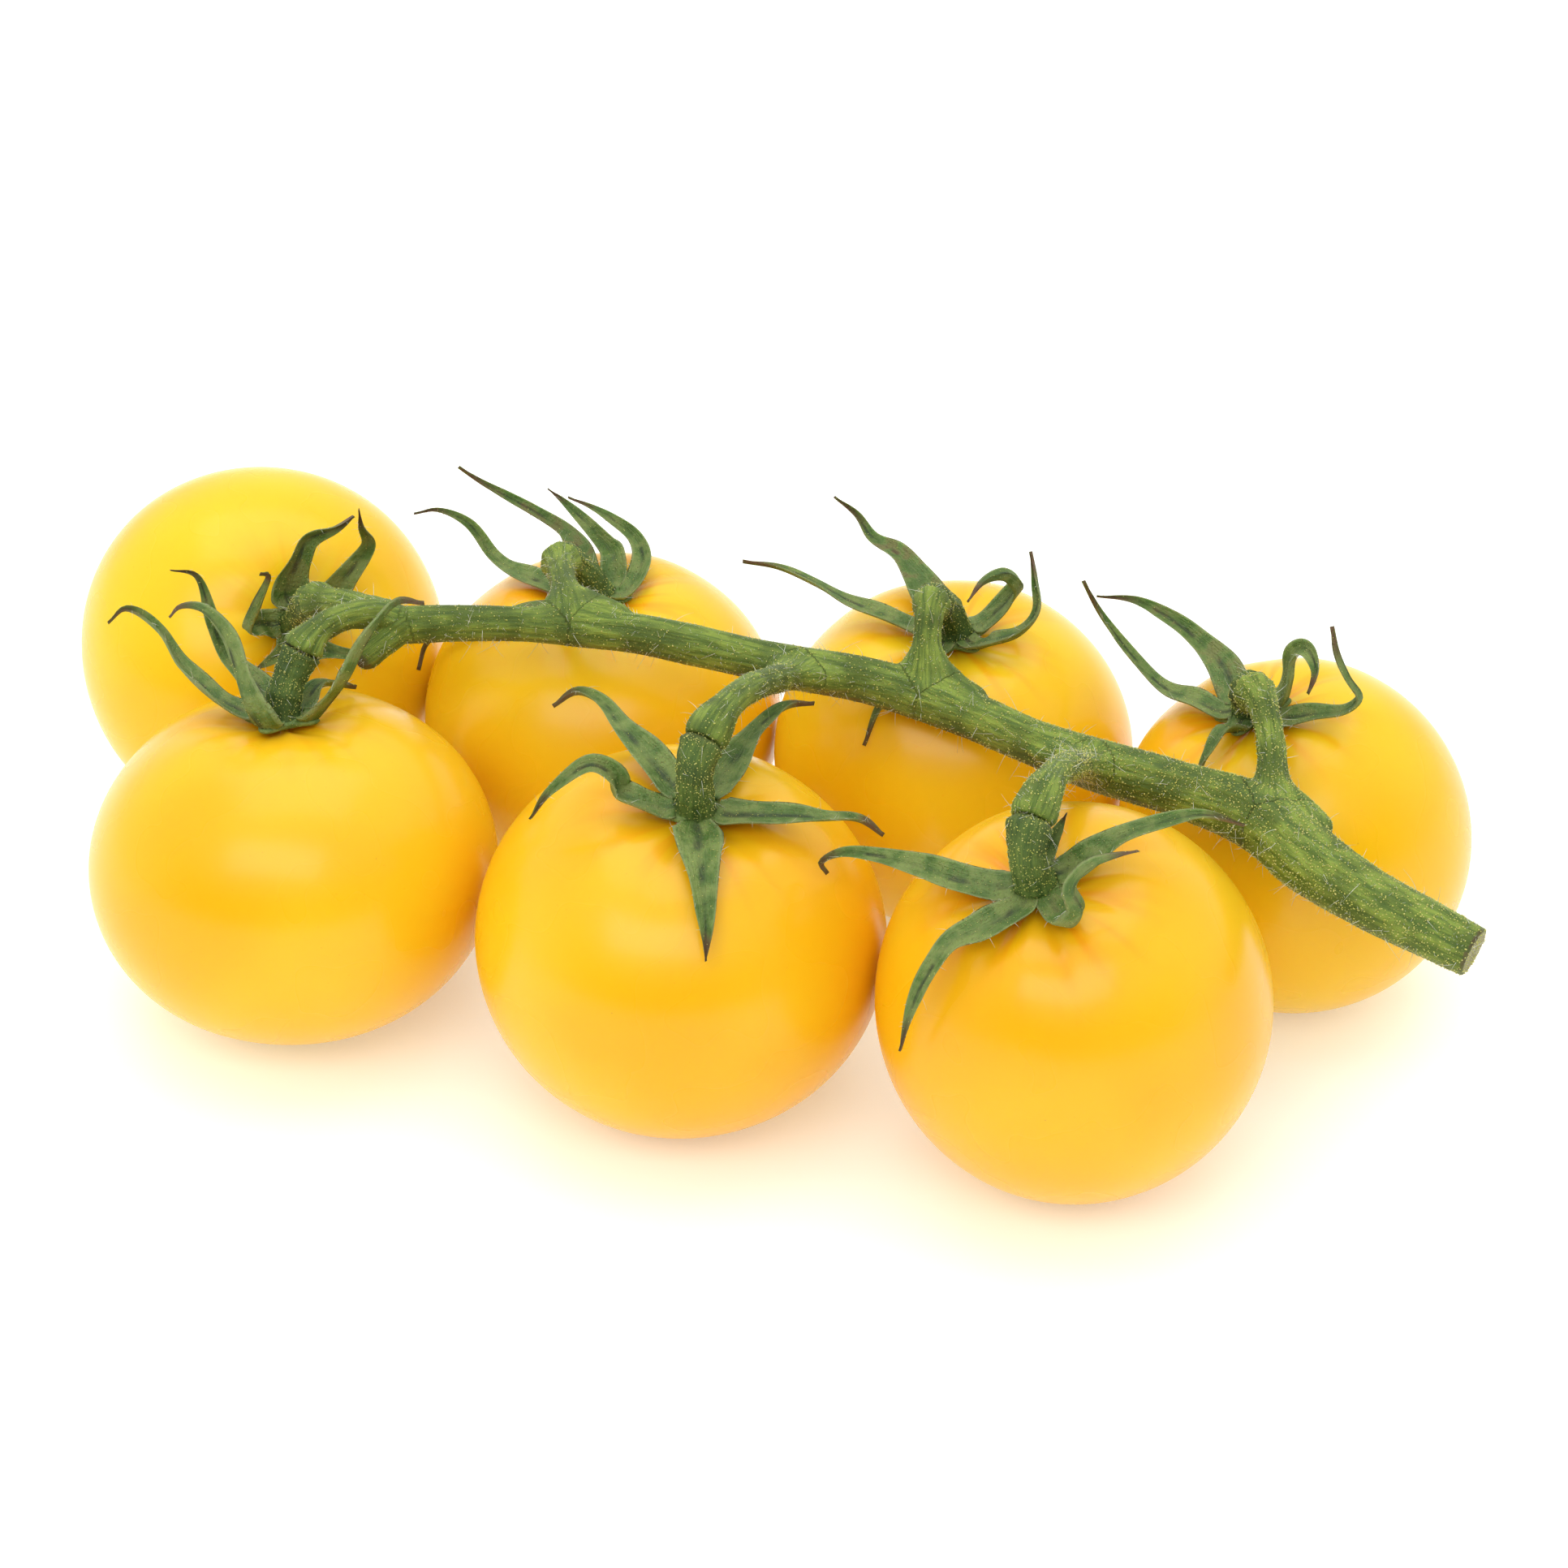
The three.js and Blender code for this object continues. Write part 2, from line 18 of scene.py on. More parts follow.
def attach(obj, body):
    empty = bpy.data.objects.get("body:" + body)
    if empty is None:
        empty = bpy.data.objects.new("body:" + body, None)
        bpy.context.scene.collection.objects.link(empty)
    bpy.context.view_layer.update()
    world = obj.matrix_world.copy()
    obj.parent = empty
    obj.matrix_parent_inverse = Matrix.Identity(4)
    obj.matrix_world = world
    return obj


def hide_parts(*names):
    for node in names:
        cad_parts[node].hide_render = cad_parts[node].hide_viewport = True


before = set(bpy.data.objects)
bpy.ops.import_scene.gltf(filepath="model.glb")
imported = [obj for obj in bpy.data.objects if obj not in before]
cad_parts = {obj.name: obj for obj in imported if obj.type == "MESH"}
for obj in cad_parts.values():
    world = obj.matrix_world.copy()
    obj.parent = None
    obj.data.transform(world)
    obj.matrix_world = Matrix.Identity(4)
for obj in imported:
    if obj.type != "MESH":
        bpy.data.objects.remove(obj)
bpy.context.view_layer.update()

MM = 0.001
OFFSET = np.array([2.683, 2.887, 0.0])  # from the table's coordinates to the frame's, mm
UP = np.array([0.0, 0.0, 1.0])
rng = random.Random(17)

# ---------------------------------------------------------------- the part's own measures, mm
FLAT_DEPTH = 0.35  # how far the resting spot is flattened
FRUIT_GAP = 0.4  # between neighbouring fruits
STEM_GAP = 0.8  # least air between the vine and a fruit
SEPAL_GAP = 0.5  # least air between a sepal's middle line and a fruit
BARK_GAP = 1.3  # least air between a sepal's middle line and the vine's bark
DIMPLE_SPREAD = 0.33  # reach of the hollow at the calyx, radians from the pole
RIB_DEPTH = 0.02  # share of the radius taken by the grooves near the calyx
RIB_SPREAD = 0.8  # reach of the grooves, radians from the pole
PEDICEL_RADIUS = 1.12  # upper pedicel, between the vine and the knuckle
KNUCKLE_RADIUS = 1.78  # swollen ring where a ripe fruit breaks off
KNUCKLE_REACH = 0.13  # share of the upper pedicel that swells
LOWER_RADIUS = 1.45  # lower pedicel, between the knuckle and the calyx
FLARE = 0.5  # how much thicker the pedicel is where it leaves the vine
WEB = 4.2  # how much wider than the pedicel the flare is lengthwise along the vine
FLARE_REACH = 2.3  # how far from the vine's middle line the flare and the web fade
STUB_RADIUS = 1.15
ROOT_RADIUS = 2.35  # from a fruit's axis to a sepal's root
SEPAL_SEAT = 0.9  # height of a sepal's root above the dimple's floor

# Stations of the main stem: x, y, z and radius.
MAIN_STEM = [
    [-32.0, 2.3, 29.8, 1.55], [-26.8, 2.3, 30.0, 1.45], [-21.5, 2.2, 30.0, 1.4], [-16.8, 1.6, 30.0, 1.55],
    [-12.2, 0.7, 30.0, 1.6], [-7.4, -0.7, 29.7, 1.75], [-2.8, -1.4, 28.9, 1.65], [1.2, -2.2, 28.4, 1.75],
    [6.2, -2.4, 27.5, 1.85], [10.8, -3.6, 26.7, 1.9], [15.2, -6.1, 26.2, 1.8], [19.6, -9.6, 26.0, 1.85],
    [24.2, -12.9, 26.0, 2.1], [30.6, -16.6, 26.0, 2.2], [36.8, -20.8, 25.8, 2.6], [40.0, -25.2, 25.0, 2.6],
    [44.3, -29.4, 24.1, 2.3], [48.7, -32.2, 23.1, 2.1], [51.6, -34.0, 22.4, 2.0],
]
STUB_STATION = 0.27  # where the stub leaves the main stem, counted in stations
STUB = [[-2, -1.3, -1], [-4.1, -2.1, -2.4]]

# The same rows as the part's, with the looks of each fruit added: tone (green share of its yellow),
# streak (how marked the orange streaks by the calyx are) and for each sepal a share of browning.
TOMATOES = [
    dict(
        name="front_left", at=[-39.7, -8.6], width=33, height=28.2, lean=[99, 12], ribs=5, dimple=2.1,
        leaves=0.08, start=[-2.6, 0.6, 1.9], knuckle=[1.6, 2.8, 5.4], heading=[-0.45, -0.4, -0.8],
        tone=0.52, streak=0.25, browning=[0.25, 0.3, 0.1, 0.3, 0.2],
        sepals=[
            [2.6, [172, 0], [170, 5, 2], [156, 9, 4], [155, 11, 6.8], [162, 13, 8.9], [168, 14, 8.2]],
            [2.6, [117, 0], [122, 5, 2], [128, 8.2, 3.6], [131, 9.2, 6.4], [135, 10, 10.5],
             [145, 10.8, 11.3]],
            [3.2, [-112, 0], [-132, 3.1, 2.6], [180, 3.8, 7.8], [172, 5.8, 9.9], [172, 7.6, 10],
             [175, 8.4, 9.3]],
            [2.6, [-16, 0], [-13, 4, 2.6], [-21, 6.2, 5.3], [-15, 7.3, 7.6], [-3, 8.2, 8.9], [7, 9.8, 9.9],
             [13, 12, 9.2]],
            [2.2, [50, 0], [56, 5, 1.1], [50, 8.4, 1.2]],
        ],
    ),
    dict(
        name="front_middle", at=[-8, -20.4], width=32.4, height=29.2, lean=[79, 30], ribs=5, dimple=1.6,
        leaves=7, start=[-1.4, -5.6, 1.5], knuckle=[0.8, -0.3, 7], heading=[-0.42, -0.68, -0.6],
        tone=0.51, streak=0.4, browning=[0.1, 0.25, 0.1, 0.15, 0.1],
        sepals=[
            [3.1, [128, 0], [129, 6, 1.5], [126, 10.2, 1.4], [124, 14, 1], [127, 16.2, 0.6],
             [133, 16.8, -0.4]],
            [2.9, [-172, 0], [-174, 4.6, 1.2], [180, 6, 1.8], [178, 6.5, 3.2], [178, 8.2, 4.2],
             [-175, 11, 2.4], [-173, 12.6, -0.1]],
            [3.8, [-86, 0], [-85, 6.2, 1.1], [-84, 10, -0.1], [-84, 13.3, -2.4]],
            [3.1, [-14, 0], [-9, 5.3, 1.4], [-5, 9.1, 1.6], [0, 12.6, 1.1], [-3, 14.6, 0.4]],
            [3.0, [60, 0], [61, 6, 1.4], [63, 10.6, 1.5], [61, 14.2, 1.6], [56, 16.3, 1]],
        ],
    ),
    dict(
        name="front_right", at=[22, -30], width=30.4, height=31, lean=[68, -40], ribs=7, dimple=1.6,
        leaves=12, start=[-1, -4.6, 1.6], knuckle=[-0.7, -0.6, 6.5], heading=[-0.32, -0.72, -0.6],
        tone=0.5, streak=0.7, browning=[0.15, 0.15, 0.2, 0.3, 0.1],
        sepals=[
            [2.8, [178, 0], [168, 5.8, 1.3], [160, 8.8, 1.4], [156, 12.4, 1.1], [156, 15.8, 0.7],
             [158, 17.6, -0.2], [158, 17.4, -1.4]],
            [2.7, [-122, 0], [-138, 5.5, 1.2], [-146, 7.8, 1.2], [-144, 9.9, 0.8], [-144, 12.3, -1.1],
             [-145, 14.8, -5.2]],
            [2.7, [12, 0], [8, 4.4, 1.7], [13, 7.4, 2.3], [13, 10.4, 2.2], [12, 13.4, 1.6], [8, 16, 0.4]],
            [2.4, [-62, 0], [-66, 5.2, 1.4], [-58, 6.2, 3.2], [-56, 5.6, 5.1], [-40, 5.8, 5.9],
             [-21, 7.4, 5.4], [-13, 8.4, 4.6]],
            [2.0, [70, 0], [56, 3.6, 2.2], [48, 4.8, 3.8]],
        ],
    ),
    dict(
        name="right_end", at=[41.7, -4.9], width=28.8, height=29, lean=[71, -75], ribs=7, dimple=1.9,
        leaves=14.05, start=[1.5, 3.2, 2.4], knuckle=[-0.8, -3.4, 4.3], heading=[-0.2, 0.85, -0.4],
        tone=0.55, streak=0.7, browning=[0.15, 0.5, 0.1, 0.3, 0.1],
        sepals=[
            [2.2, [172, 0], [159, 4.7, 1.1], [144, 8.1, 1.5], [136, 11.7, 2.5], [134, 14.6, 6.3],
             [133, 15.7, 9.4]],
            [2.8, [116, 0], [108, 5, 2.1], [111, 8.7, 2.9], [114, 11.5, 3.7], [120, 14.6, 5.2],
             [128, 16.8, 6.4]],
            [2.8, [0, 0], [1, 3.4, 2.6], [1, 4.2, 4.6], [-6, 5.2, 5.6], [-17, 6.1, 6], [-31, 6.9, 5.3],
             [-46, 7, 4.6]],
            [2.2, [-60, 0], [-37, 5.8, 1.1], [-30, 8.4, 1.4], [-28, 9.7, 2.6], [-28, 9.2, 4.5],
             [-21, 8.4, 6.2], [-11, 8.1, 7.7]],
            [2.1, [-124, 0], [-130, 4.1, 1], [-131, 6.5, 1.2], [-131, 8.1, 0.5]],
        ],
    ),
    dict(
        name="back_right", at=[14.2, 8.2], width=30.3, height=28.6, lean=[81.5, -13], ribs=6, dimple=2.1,
        leaves=9.1, start=[0.3, 2.4, 3.2], knuckle=[-1.9, -4.1, 5.7], heading=[0.2, 0.9, -0.35],
        tone=0.56, streak=0.6, browning=[0.2, 0.75, 0.15, 0.3, 0.15],
        sepals=[
            [2.2, [170, 0], [168, 5.4, 1.4], [157, 9, 1.5], [151, 12.9, 1.6], [149, 16.8, 1.6],
             [151, 19.8, 1.6]],
            [3, [115, 0], [118, 6, 2.6], [117, 9.7, 2.6], [120, 13, 2.5], [121, 14.9, 3.6],
             [125, 16.5, 5.1]],
            [2.5, [15, 0], [14, 4, 2.2], [10, 5.2, 3.9], [0, 5.5, 5.6], [-8, 4.4, 7.2], [-34, 3.2, 7.5],
             [-75, 3.6, 6.6]],
            [2.1, [-50, 0], [-46, 4.2, 1.8], [-28, 6, 2.8], [-15, 7.1, 4.3], [-1, 6.8, 6.1],
             [12, 6.6, 7.9]],
            [2.0, [-118, 0], [-125, 6.8, 1], [-127, 10.3, -0.2], [-127, 12.6, -2.7]],
        ],
    ),
    dict(
        name="back_left", at=[-15.6, 15.9], width=30.8, height=27, lean=[87.5, -48], ribs=6, dimple=2.3,
        leaves=2.9, start=[-0.2, 2.2, 2.2], knuckle=[-2.6, -2.1, 5.15], heading=[0.1, 0.93, -0.35],
        tone=0.55, streak=0.8, browning=[0.15, 0.7, 0.2, 0.2, 0.5],
        sepals=[
            [2.4, [170, 0], [155, 7.2, 0.8], [147, 10.7, 1.5], [147, 13.1, 4], [152, 15.3, 5.4],
             [157, 16.8, 5.5]],
            [2.4, [108, 0], [105, 6.6, 0.8], [108, 9.6, 1.9], [121, 11.1, 3.8], [136, 13.2, 6.7],
             [141, 14.9, 8.4]],
            [2.3, [52, 0], [66, 4, 1.2], [78, 5.2, 2.4], [95, 6.4, 3.9], [107, 9.2, 4.9], [112, 11.2, 5.4]],
            [2.1, [-8, 0], [38, 5.1, 1.5], [60, 6.8, 2.8], [80, 8, 3.6], [93, 9.6, 3.9], [103, 11.4, 4.1]],
            [2.0, [-115, 0], [-134, 5.2, 1.4], [-156, 8.7, 0.9], [-178, 13.5, -2.4], [175, 15.1, -4.6],
             [178, 15.7, -6.5]],
        ],
    ),
    dict(
        name="left_end", at=[-45.6, 24.4], width=31.9, height=28, lean=[36.5, 25], ribs=5, dimple=1.6,
        leaves=0.1, start=[-2.4, 2, 0.9], knuckle=[2.6, -6.1, 5.7], heading=[-0.5, 0.7, -0.5],
        tone=0.58, streak=0.25, browning=[0.35, 0.2, 0.2, 0.1, 0.1],
        sepals=[
            [3.2, [125, 0], [116, 3.8, 2.1], [107, 5.2, 3.2], [100, 6.7, 4], [85, 7.8, 5.3],
             [77, 9.4, 5.3]],
            [2.6, [42, 0], [57, 5.2, 2.8], [62, 8.2, 4.9], [73, 8.5, 7.1], [79, 9.2, 8.5]],
            [2.4, [-166, 0], [-164, 3.8, 2.2], [-160, 5.2, 3.7], [-178, 4.9, 5.5], [155, 5, 7.3],
             [160, 5.7, 8.1]],
            [2.2, [-52, 0], [-28, 4.2, 1.9], [-15, 6.5, 2.2]],
            [1.9, [-109, 0], [-114, 3.6, 1.8], [-123, 6, 2]],
        ],
    ),
]


# ---------------------------------------------------------------- curves and frames
def unit(v):
    return v / max(np.linalg.norm(v), 1e-12)


def spline_point(points, place):
    """A centripetal Catmull-Rom spline through points; place counts points, such as 2.5."""
    last = len(points) - 1
    i = min(int(place), last - 1)
    share = place - i
    b, c = points[i], points[i + 1]
    a = points[i - 1] if i > 0 else 2 * points[0] - points[1]
    d = points[i + 2] if i + 2 <= last else 2 * points[last] - points[last - 1]
    ab, bc, cd = (max(np.linalg.norm(q - p), 1e-8) ** 0.5 for p, q in ((a, b), (b, c), (c, d)))
    leave = ((b - a) / ab - (c - a) / (ab + bc) + (c - b) / bc) * bc
    arrive = ((c - b) / bc - (d - b) / (bc + cd) + (d - c) / cd) * bc
    square = -3 * b + 3 * c - 2 * leave - arrive
    cube = 2 * b - 2 * c + leave + arrive
    return b + leave * share + square * share**2 + cube * share**3


def spline(points, per_span=24):
    points = [np.array(p, float) for p in points]
    places = np.linspace(0, len(points) - 1, (len(points) - 1) * per_span + 1)
    return np.array([spline_point(points, place) for place in places]), places


def bezier(a, b, c, d, count=120):
    t = np.linspace(0, 1, count)[:, None]
    return (1 - t) ** 3 * a + 3 * (1 - t) ** 2 * t * b + 3 * (1 - t) * t**2 * c + t**3 * d


def evenly(dense, steps):
    """The dense points resampled at even lengths: points, and each one's place among the dense ones."""
    length = np.concatenate([[0], np.cumsum(np.linalg.norm(np.diff(dense, axis=0), axis=1))])
    wanted = np.linspace(0, length[-1], steps + 1)
    index = np.interp(wanted, length, np.arange(len(dense)))
    points = np.column_stack([np.interp(wanted, length, dense[:, k]) for k in range(3)])
    return points, index, length[-1]


def carry_frames(points, first_side):
    """Side and normal vectors along points, the side carried along without twisting."""
    tangents = np.gradient(points, axis=0)
    side = np.array(first_side, float)
    sides, normals = [], []
    for tangent in tangents:
        tangent = unit(tangent)
        side = unit(side - side.dot(tangent) * tangent)
        sides.append(side)
        normals.append(np.cross(side, tangent))
    return np.array(sides), np.array(normals)


def any_side(points):
    tangent = points[1] - points[0]
    side = np.array([-tangent[1], tangent[0], 0])
    return unit(side) if np.linalg.norm(unit(tangent)[:2]) > 0.1 else np.array([1.0, 0, 0])


# ---------------------------------------------------------------- the fruits' places
def reach_of(fruit, direction):
    along = float(np.dot(direction, fruit["axis"]))
    return math.hypot(fruit["radius"] * math.sqrt(max(0, 1 - along**2)), fruit["polar"] * along)


def air_to(fruit, point):
    offset = point - fruit["centre"]
    distance = np.linalg.norm(offset)
    along = float(np.dot(offset / distance, fruit["axis"]))
    across = math.sqrt(max(0, 1 - along**2))
    return distance - 1 / math.hypot(across / fruit["radius"], along / fruit["polar"])


def settle_fruits():
    """Sets every fruit on the table and pushes neighbours apart, as the part does."""
    for fruit in TOMATOES:
        elevation, turn = (math.radians(a) for a in fruit["lean"])
        level = math.cos(elevation)
        fruit["axis"] = np.array([level * math.sin(turn), -level * math.cos(turn), math.sin(elevation)])
        fruit["radius"] = fruit["width"] / 2
        fruit["polar"] = fruit["height"] / 2
        fruit["centre"] = np.array([*fruit["at"], reach_of(fruit, UP) - FLAT_DEPTH], float)
        fruit["turned"] = Vector(UP).rotation_difference(Vector(fruit["axis"])).to_matrix()
    for _ in range(200):
        for i, one in enumerate(TOMATOES):
            for other in TOMATOES[i + 1:]:
                between = other["centre"] - one["centre"]
                distance = np.linalg.norm(between)
                between = between / distance
                short = reach_of(one, between) + reach_of(other, between) + FRUIT_GAP - distance
                if short > 0:
                    push = unit(between * [1, 1, 0]) * short / 2
                    one["centre"] = one["centre"] - push
                    other["centre"] = other["centre"] + push
    for fruit in TOMATOES:
        fruit["seat"] = fruit["polar"] - fruit["dimple"]
        fruit["calyx"] = fruit["centre"] + fruit["axis"] * fruit["seat"]
        fruit["joint"] = fruit["calyx"] + fruit["knuckle"]
        fruit["heading"] = unit(np.array(fruit["heading"], float))


def on_fruit(fruit, turn, out, height):
    """A point set out around a fruit's axis: turn in degrees, out from the axis, above the calyx."""
    angle = math.radians(turn)
    local = Vector((math.cos(angle) * out, math.sin(angle) * out, fruit["seat"] + height))
    return np.array(fruit["turned"] @ local) + fruit["centre"]


# ---------------------------------------------------------------- meshes
def to_frame(points):
    return (np.asarray(points, float) + OFFSET) * MM


def mesh_object(name, points, faces, attributes=None):
    """An object from table coordinates in mm, smooth, with float-vector attributes for its material."""
    mesh = bpy.data.meshes.new(name)
    mesh.from_pydata(to_frame(points).tolist(), [], faces)
    mesh.shade_smooth()
    for key, values in (attributes or {}).items():
        made = mesh.attributes.new(key, "FLOAT_VECTOR", "POINT")
        made.data.foreach_set("vector", np.asarray(values, np.float32).ravel())
    made = bpy.data.objects.new(name, mesh)
    bpy.context.scene.collection.objects.link(made)
    return made


def loft(rings, first=0):
    """Points and faces of a closed body through rings of equal size, its two ends closed by fans."""
    rings = np.asarray(rings)
    count, around = rings.shape[:2]
    points = rings.reshape(-1, 3)
    faces = []
    for i in range(count - 1):
        for j in range(around):
            k = (j + 1) % around
            low, high = first + i * around, first + (i + 1) * around
            faces.append((low + j, low + k, high + k, high + j))
    start, end = first + count * around, first + count * around + 1
    top = first + (count - 1) * around
    for j in range(around):
        k = (j + 1) % around
        faces.append((start, first + k, first + j))
        faces.append((end, top + j, top + k))
    points = np.vstack([points, rings[0].mean(axis=0), rings[-1].mean(axis=0)])
    return points, faces


def tube_rings(points, radii, sides, wobble, first_side=None, wider=None):
    """Rings along points; wider is how much each ring's half size along its side exceeds its radius."""
    side, normal = carry_frames(points, any_side(points) if first_side is None else first_side)
    wider = np.zeros(len(points)) if wider is None else wider
    turns = np.linspace(0, 2 * math.pi, sides, endpoint=False)
    rings = []
    for i, centre in enumerate(points):
        shape = wobble(i / (len(points) - 1), turns)
        across = np.outer(np.cos(turns) * shape * (radii[i] + wider[i]), side[i])
        rings.append(centre + across + np.outer(np.sin(turns) * shape * radii[i], normal[i]))
    return np.array(rings), side, normal


def recalculate(obj):
    work = bmesh.new()
    work.from_mesh(obj.data)
    bmesh.ops.recalc_face_normals(work, faces=work.faces)
    work.to_mesh(obj.data)
    work.free()


def apply_modifiers(obj):
    bpy.context.view_layer.update()
    shaped = obj.evaluated_get(bpy.context.evaluated_depsgraph_get())
    mesh = bpy.data.meshes.new_from_object(shaped)
    obj.modifiers.clear()
    obj.data = mesh


# ---------------------------------------------------------------- materials
class Shader:
    """A node material around one Principled shader, with short calls for the nodes used here."""

    def __init__(self, name):
        self.material = bpy.data.materials.new(name)
        self.material.use_nodes = True
        self.tree = self.material.node_tree
        self.body = self.tree.nodes["Principled BSDF"]
        self.mm = self.vector("SCALE", self.add("ShaderNodeTexCoord").outputs["Object"], scale=1000)

    def add(self, kind, **settings):
        made = self.tree.nodes.new(kind)
        for key, value in settings.items():
            setattr(made, key, value)
        return made

    def put(self, socket, value):
        if isinstance(value, bpy.types.NodeSocket):
            self.tree.links.new(value, socket)
        else:
            socket.default_value = value

    def vector(self, operation, a, b=None, scale=None):
        made = self.add("ShaderNodeVectorMath", operation=operation)
        self.put(made.inputs[0], a)
        if b is not None:
            self.put(made.inputs[1], b)
        if scale is not None:
            self.put(made.inputs["Scale"], scale)
        return made.outputs[0]

    def math(self, operation, a, b=0.0):
        made = self.add("ShaderNodeMath", operation=operation, use_clamp=False)
        self.put(made.inputs[0], a)
        self.put(made.inputs[1], b)
        return made.outputs[0]

    def attribute(self, name):
        """The three numbers of a vertex attribute, and the attribute as a vector."""
        source = self.add("ShaderNodeAttribute", attribute_name=name)
        split = self.add("ShaderNodeSeparateXYZ")
        self.put(split.inputs[0], source.outputs["Vector"])
        return (*split.outputs, source.outputs["Vector"])

    def noise(self, vector, scale, detail=3.0, roughness=0.5):
        made = self.add("ShaderNodeTexNoise")
        self.put(made.inputs["Vector"], vector)
        self.put(made.inputs["Scale"], scale)
        self.put(made.inputs["Detail"], detail)
        self.put(made.inputs["Roughness"], roughness)
        return made.outputs["Fac"]

    def cells(self, vector, scale):
        made = self.add("ShaderNodeTexVoronoi")
        self.put(made.inputs["Vector"], vector)
        self.put(made.inputs["Scale"], scale)
        return made.outputs["Distance"]

    def ramp(self, value, low, high, to_low=0.0, to_high=1.0):
        made = self.add("ShaderNodeMapRange", interpolation_type="SMOOTHSTEP")
        for socket, given in zip(made.inputs, (value, low, high, to_low, to_high)):
            self.put(socket, given)
        return made.outputs[0]

    def mix(self, share, a, b):
        made = self.add("ShaderNodeMix", data_type="RGBA")
        self.put(made.inputs[0], share)
        self.put(made.inputs[6], a if isinstance(a, bpy.types.NodeSocket) else (*a, 1))
        self.put(made.inputs[7], b if isinstance(b, bpy.types.NodeSocket) else (*b, 1))
        return made.outputs[2]

    def bump(self, height, distance):
        made = self.add("ShaderNodeBump")
        self.put(made.inputs["Height"], height)
        self.put(made.inputs["Distance"], distance)
        self.put(self.body.inputs["Normal"], made.outputs[0])

    def finish(self, colour, roughness, **plain):
        self.put(self.body.inputs["Base Color"], colour)
        self.put(self.body.inputs["Roughness"], roughness)
        for key, value in plain.items():
            self.body.inputs[key.replace("_", " ")].default_value = value
        return self.material


def skin_material(name, tone, streak, seed):
    """Waxy, slightly translucent skin: golden, streaked near the calyx, with faint pores and specks."""
    s = Shader(name)
    from_pole, _, _, whole = s.attribute("skin")
    shifted = s.vector("ADD", s.mm, (seed * 31.0, seed * 17.0, seed * 7.0))
    light = (0.91, tone + 0.03, 0.012)
    deep = (0.89, tone - 0.05, 0.004)
    colour = s.mix(s.ramp(s.noise(shifted, 0.06, 1.5), 0.3, 0.7), light, deep)
    streaks = s.ramp(s.noise(s.vector("MULTIPLY", whole, (0.5, 2.6, 2.6)), 1.5, 2.0), 0.42, 0.7)
    crown = s.ramp(from_pole, 0.12, 0.85, 1.0, 0.0)
    colour = s.mix(s.math("MULTIPLY", s.math("MULTIPLY", streaks, crown), streak), colour, (0.9, 0.26, 0.002))
    pores = s.ramp(s.cells(shifted, 0.8), 0.03, 0.075, 1.0, 0.0)
    colour = s.mix(s.math("MULTIPLY", pores, 0.25), colour, (0.88, 0.32, 0.004))
    specks = s.ramp(s.cells(s.vector("ADD", shifted, (5.0, 9.0, 2.0)), 0.3), 0.012, 0.024, 1.0, 0.0)
    colour = s.mix(s.math("MULTIPLY", specks, 0.4), colour, (0.5, 0.2, 0.02))
    scar = s.ramp(from_pole, 3.08, 3.11)
    colour = s.mix(scar, colour, (0.2, 0.11, 0.03))
    s.bump(s.noise(shifted, 0.12, 1.0), 0.00001)
    rough = s.ramp(s.noise(shifted, 0.15, 1.0), 0.3, 0.7, 0.26, 0.29)
    return s.finish(
        colour, rough, Subsurface_Weight=0.35, Subsurface_Radius=(1.0, 0.62, 0.08), Subsurface_Scale=0.004,
        IOR=1.36, Coat_Weight=0.08, Coat_Roughness=0.14,
    )


def vine_material(name, dark, light):
    """Green bark with lengthwise striations, fine yellow-green speckles, purple-brown tints (real browning at
    the cut rim, the stub's end and the knuckle, painted shade on the undersides), a cut.
    """
    s = Shader(name)
    _, _, _, grain = s.attribute("grain")
    cut, brown, dotted, _ = s.attribute("tint")
    lines = s.noise(s.vector("MULTIPLY", grain, (2.8, 2.8, 0.2)), 1.6, 6.0, 0.65)
    patches = s.noise(s.mm, 0.3, 3.0)
    colour = s.mix(s.ramp(lines, 0.36, 0.64), dark, light)
    colour = s.mix(s.ramp(patches, 0.4, 0.66, 0.0, 0.7), colour, tuple(0.6 * v for v in dark))
    speckle = s.ramp(s.cells(s.mm, 4.4), 0.14, 0.28, 1.0, 0.0)
    colour = s.mix(s.math("MULTIPLY", speckle, s.math("MULTIPLY", dotted, 0.9)), colour, (0.5, 0.54, 0.13))
    # Purple-brown: painted shade on downward-facing bark, real browning at the cut rim, the stub's end and
    # the knuckle.
    browning_and_underside_shade = s.math("MULTIPLY", brown, s.ramp(s.math("ADD", lines, patches), 0.8, 1.15, 0.25, 1.0))
    colour = s.mix(browning_and_underside_shade, colour, (0.1, 0.055, 0.035))
    pith = s.mix(s.ramp(s.cells(s.mm, 4.0), 0.0, 0.3), (0.5, 0.42, 0.22), (0.33, 0.3, 0.13))
    colour = s.mix(cut, colour, pith)
    fine = s.noise(s.mm, 5.0, 3.0)
    height = s.math("ADD", s.math("MULTIPLY", lines, 1.6), s.math("MULTIPLY", fine, 0.5))
    s.bump(s.math("ADD", height, s.math("MULTIPLY", speckle, dotted)), 0.00016)
    return s.finish(
        colour, s.ramp(lines, 0.3, 0.7, 0.5, 0.72), Subsurface_Weight=0.1,
        Subsurface_Radius=(0.6, 1.0, 0.2), Subsurface_Scale=0.0006, IOR=1.4,
    )


